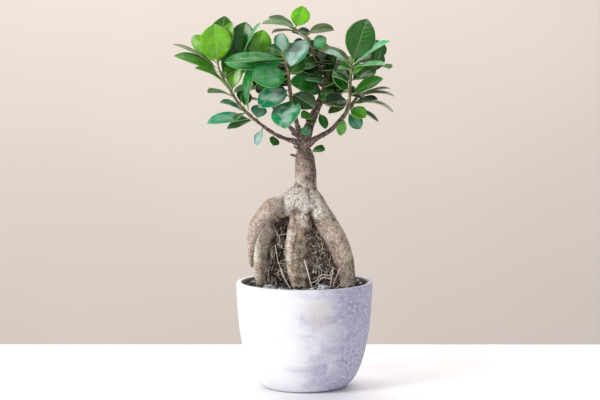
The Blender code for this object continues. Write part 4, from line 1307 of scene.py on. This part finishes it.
def makeGravel(edge, mound):
    dice = random.Random(7)
    shapes = {}
    for kind, rounds in (("stone", 2), ("bark", 1)):
        bpy.ops.object.select_all(action="DESELECT")
        bpy.ops.mesh.primitive_ico_sphere_add(subdivisions=rounds, radius=1, location=(0, 0, 0))
        master = bpy.context.active_object
        shapes[kind] = ([vert.co.copy() for vert in master.data.vertices],
                        [tuple(face.vertices) for face in master.data.polygons])
        bpy.data.objects.remove(master)
    stones = []
    for node in ("pebble_left", "pebble_right"):
        low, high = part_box(node)
        stones.append(((low + high) / 2, (high.x - low.x) / 2.1, 0.8))
    for (x, y), spread, count, small, large in gravelHeaps:
        for _ in range(count):
            turn, out = dice.uniform(0, math.tau), spread * math.sqrt(dice.random())
            px, py = (x + out * math.cos(turn)) * mm, (y + out * math.sin(turn)) * mm
            size = dice.uniform(small, large) * mm
            pile = dice.uniform(0.1, 1.3) if out < spread * 0.6 else 0.2
            place = Vector((px, py, soilHeight(px, py, edge, mound) + size * pile))
            stones.append((place, size, dice.uniform(0, 1)))
    for _ in range(soilShape["loose"]):
        turn, out = dice.uniform(0, math.tau), 61 * math.sqrt(dice.random())
        px, py = out * math.cos(turn) * mm, out * math.sin(turn) * mm
        size = dice.uniform(0.6, 1.9) * mm
        place = Vector((px, py, soilHeight(px, py, edge, mound) + size * 0.3))
        stones.append((place, size, -dice.uniform(0.1, 1)))
    points = []
    polygons = []
    tones = []
    for place, size, tone in stones:
        shape, faces = shapes["bark" if tone < 0 else "stone"]
        polygons += [[len(points) + i for i in face] for face in faces]
        stretch = Vector((dice.uniform(0.85, 1.2), dice.uniform(0.8, 1.1), dice.uniform(0.6, 0.9)))
        shift = Vector([dice.uniform(0, 50) for _ in range(3)])
        for co in shape:
            bulk = 1 + 0.55 * noise.noise(co * 1.2 + shift) + 0.16 * noise.noise(co * 3 + shift)
            points.append(place + co * stretch * bulk * size)
        tones += [tone] * len(shape)
    mesh = bpy.data.meshes.new("gravel")
    mesh.from_pydata(points, [], polygons)
    gravel = newPiece("gravel", mesh)
    paintPoints(mesh, "stoneTone", tones)
    finishPiece(gravel, [gravelFinish()], "pebble", "pebble_left", "pebble_right")
    select(gravel)
    bpy.ops.object.shade_smooth_by_angle(angle=math.radians(35))
    print("gravel ready:", len(stones), "stones")


def rootHairFinish():
    # Dry hair roots: straw to dark brown strands, each its own tone, over a core painted dark as
    # painted shade between them
    finish, shader, add = newFinish("dry_root_fibre", 0.85)
    coords = add("TexCoord").outputs["Object"]
    strand = add("Attribute", attribute_name="strand").outputs["Fac"]
    cloud = add("TexNoise", coords, Scale=500, Detail=3)
    mixed = add("Math MULTIPLY_ADD", cloud, 0.35, add("Math SUBTRACT", strand, 0.17))
    tone = add("ValToRGB", mixed, stops=[(0.0, "#120d0b"), (0.25, "#382b24"), (0.5, "#7d6b5c"),
                                         (0.75, "#c2b19f"), (1.0, "#f4ebdf")])
    bump = add("Bump", Strength=0.6, Distance=0.0005, Height=cloud)
    connect(finish, shader.inputs["Base Color"], tone)
    connect(finish, shader.inputs["Normal"], bump)
    return finish


def strandWeights(lines, tones, tubes):
    # each strand's tone on the points of its own tube
    tubes.data.update()
    parts = []
    for line, tone in zip(lines, tones):
        parts += [tone] * (len(line) * (len(tubes.data.vertices) // sum(map(len, lines))))
    parts += [tones[-1]] * (len(tubes.data.vertices) - len(parts))
    paintPoints(tubes.data, "strand", parts)


def makeFineRoots():
    finish = rootHairFinish()
    dice = random.Random(23)
    for side, mass in hairRoots.items():
        # the imported core of the mass is the CAD node's shape, drawn in and made rough; its dark
        # tones are painted shade between the legs
        core = copyOfNode(mass["node"], "root_mass_" + side)
        addModifier(core, "REMESH", mode="VOXEL", voxel_size=1.3 * mm)
        points = getPoints(core.data)
        normals = np.array([vert.normal for vert in core.data.vertices])
        push = [-2.6 + 2.4 * noise.noise(Vector(p) * 190) + 1.2 * noise.noise(Vector(p) * 480)
                for p in points]
        setPoints(core.data, points + normals * np.array(push)[:, None] * mm)
        paintPoints(core.data, "strand", [0.12 + 0.5 * max(0, noise.noise(Vector(p) * 240))
                                          for p in points])
        finishPiece(core, [finish], "fine_roots", mass["node"])
        levels, lefts, rights = zip(*mass["gap"])
        lines = []
        tones = []
        for _ in range(mass["count"]):
            z = levels[0] + (levels[-1] - levels[0]) * dice.random() ** 1.25
            x = dice.uniform(np.interp(z, levels, lefts), np.interp(z, levels, rights))
            place = Vector((x, dice.uniform(*mass["deep"]), z))
            heading = Vector((dice.uniform(-1, 1), dice.uniform(-0.6, 0.6), dice.uniform(-2, 0)))
            size = dice.choice([0.14, 0.18, 0.24, 0.38])
            line = []
            for _ in range(dice.randint(5, 15)):
                line.append((place * mm, size * mm))
                heading += Vector([dice.uniform(-0.9, 0.9) for _ in range(3)])
                heading = (heading + Vector((0, 0, -0.2))).normalized()
                place = place + heading * 2.4
                place.x = max(np.interp(place.z, levels, lefts),
                              min(np.interp(place.z, levels, rights), place.x))
                place.y = max(mass["deep"][0], min(mass["deep"][1], place.y))
                place.z = min(place.z, levels[-1])
                if place.z < levels[0]:
                    break
            if len(line) > 3:
                lines.append(smoothLine(line, 1.3 * mm))
                tones.append(dice.uniform(0.55, 1.0) if dice.random() < mass["pale"]
                             else dice.uniform(0.05, 0.5))
        hairs = tubesFrom("root_hairs_" + side, lines, 4)
        strandWeights(lines, tones, hairs)
        finishPiece(hairs, [finish], "fine_roots")
    lines = []
    for points, radius in straws:
        rows = [(Vector(point) * mm, radius * mm * (1 - 0.45 * i / len(points)))
                for i, point in enumerate(points)]
        lines.append(smoothLine(rows, 1.4 * mm))
    bare = tubesFrom("bare_roots", lines, 8)
    strandWeights(lines, [dice.uniform(0.75, 1.0) for _ in lines], bare)
    finishPiece(bare, [finish], "fine_roots", "aerial_root")
    print("fine roots ready")


makeStage()
makePot()
soilEdge, soilMound = makeSoil()
makeGravel(soilEdge, soilMound)
makeTrunk()
makeFineRoots()
stemLines = makeStems()
makeLeaves(stemLines)
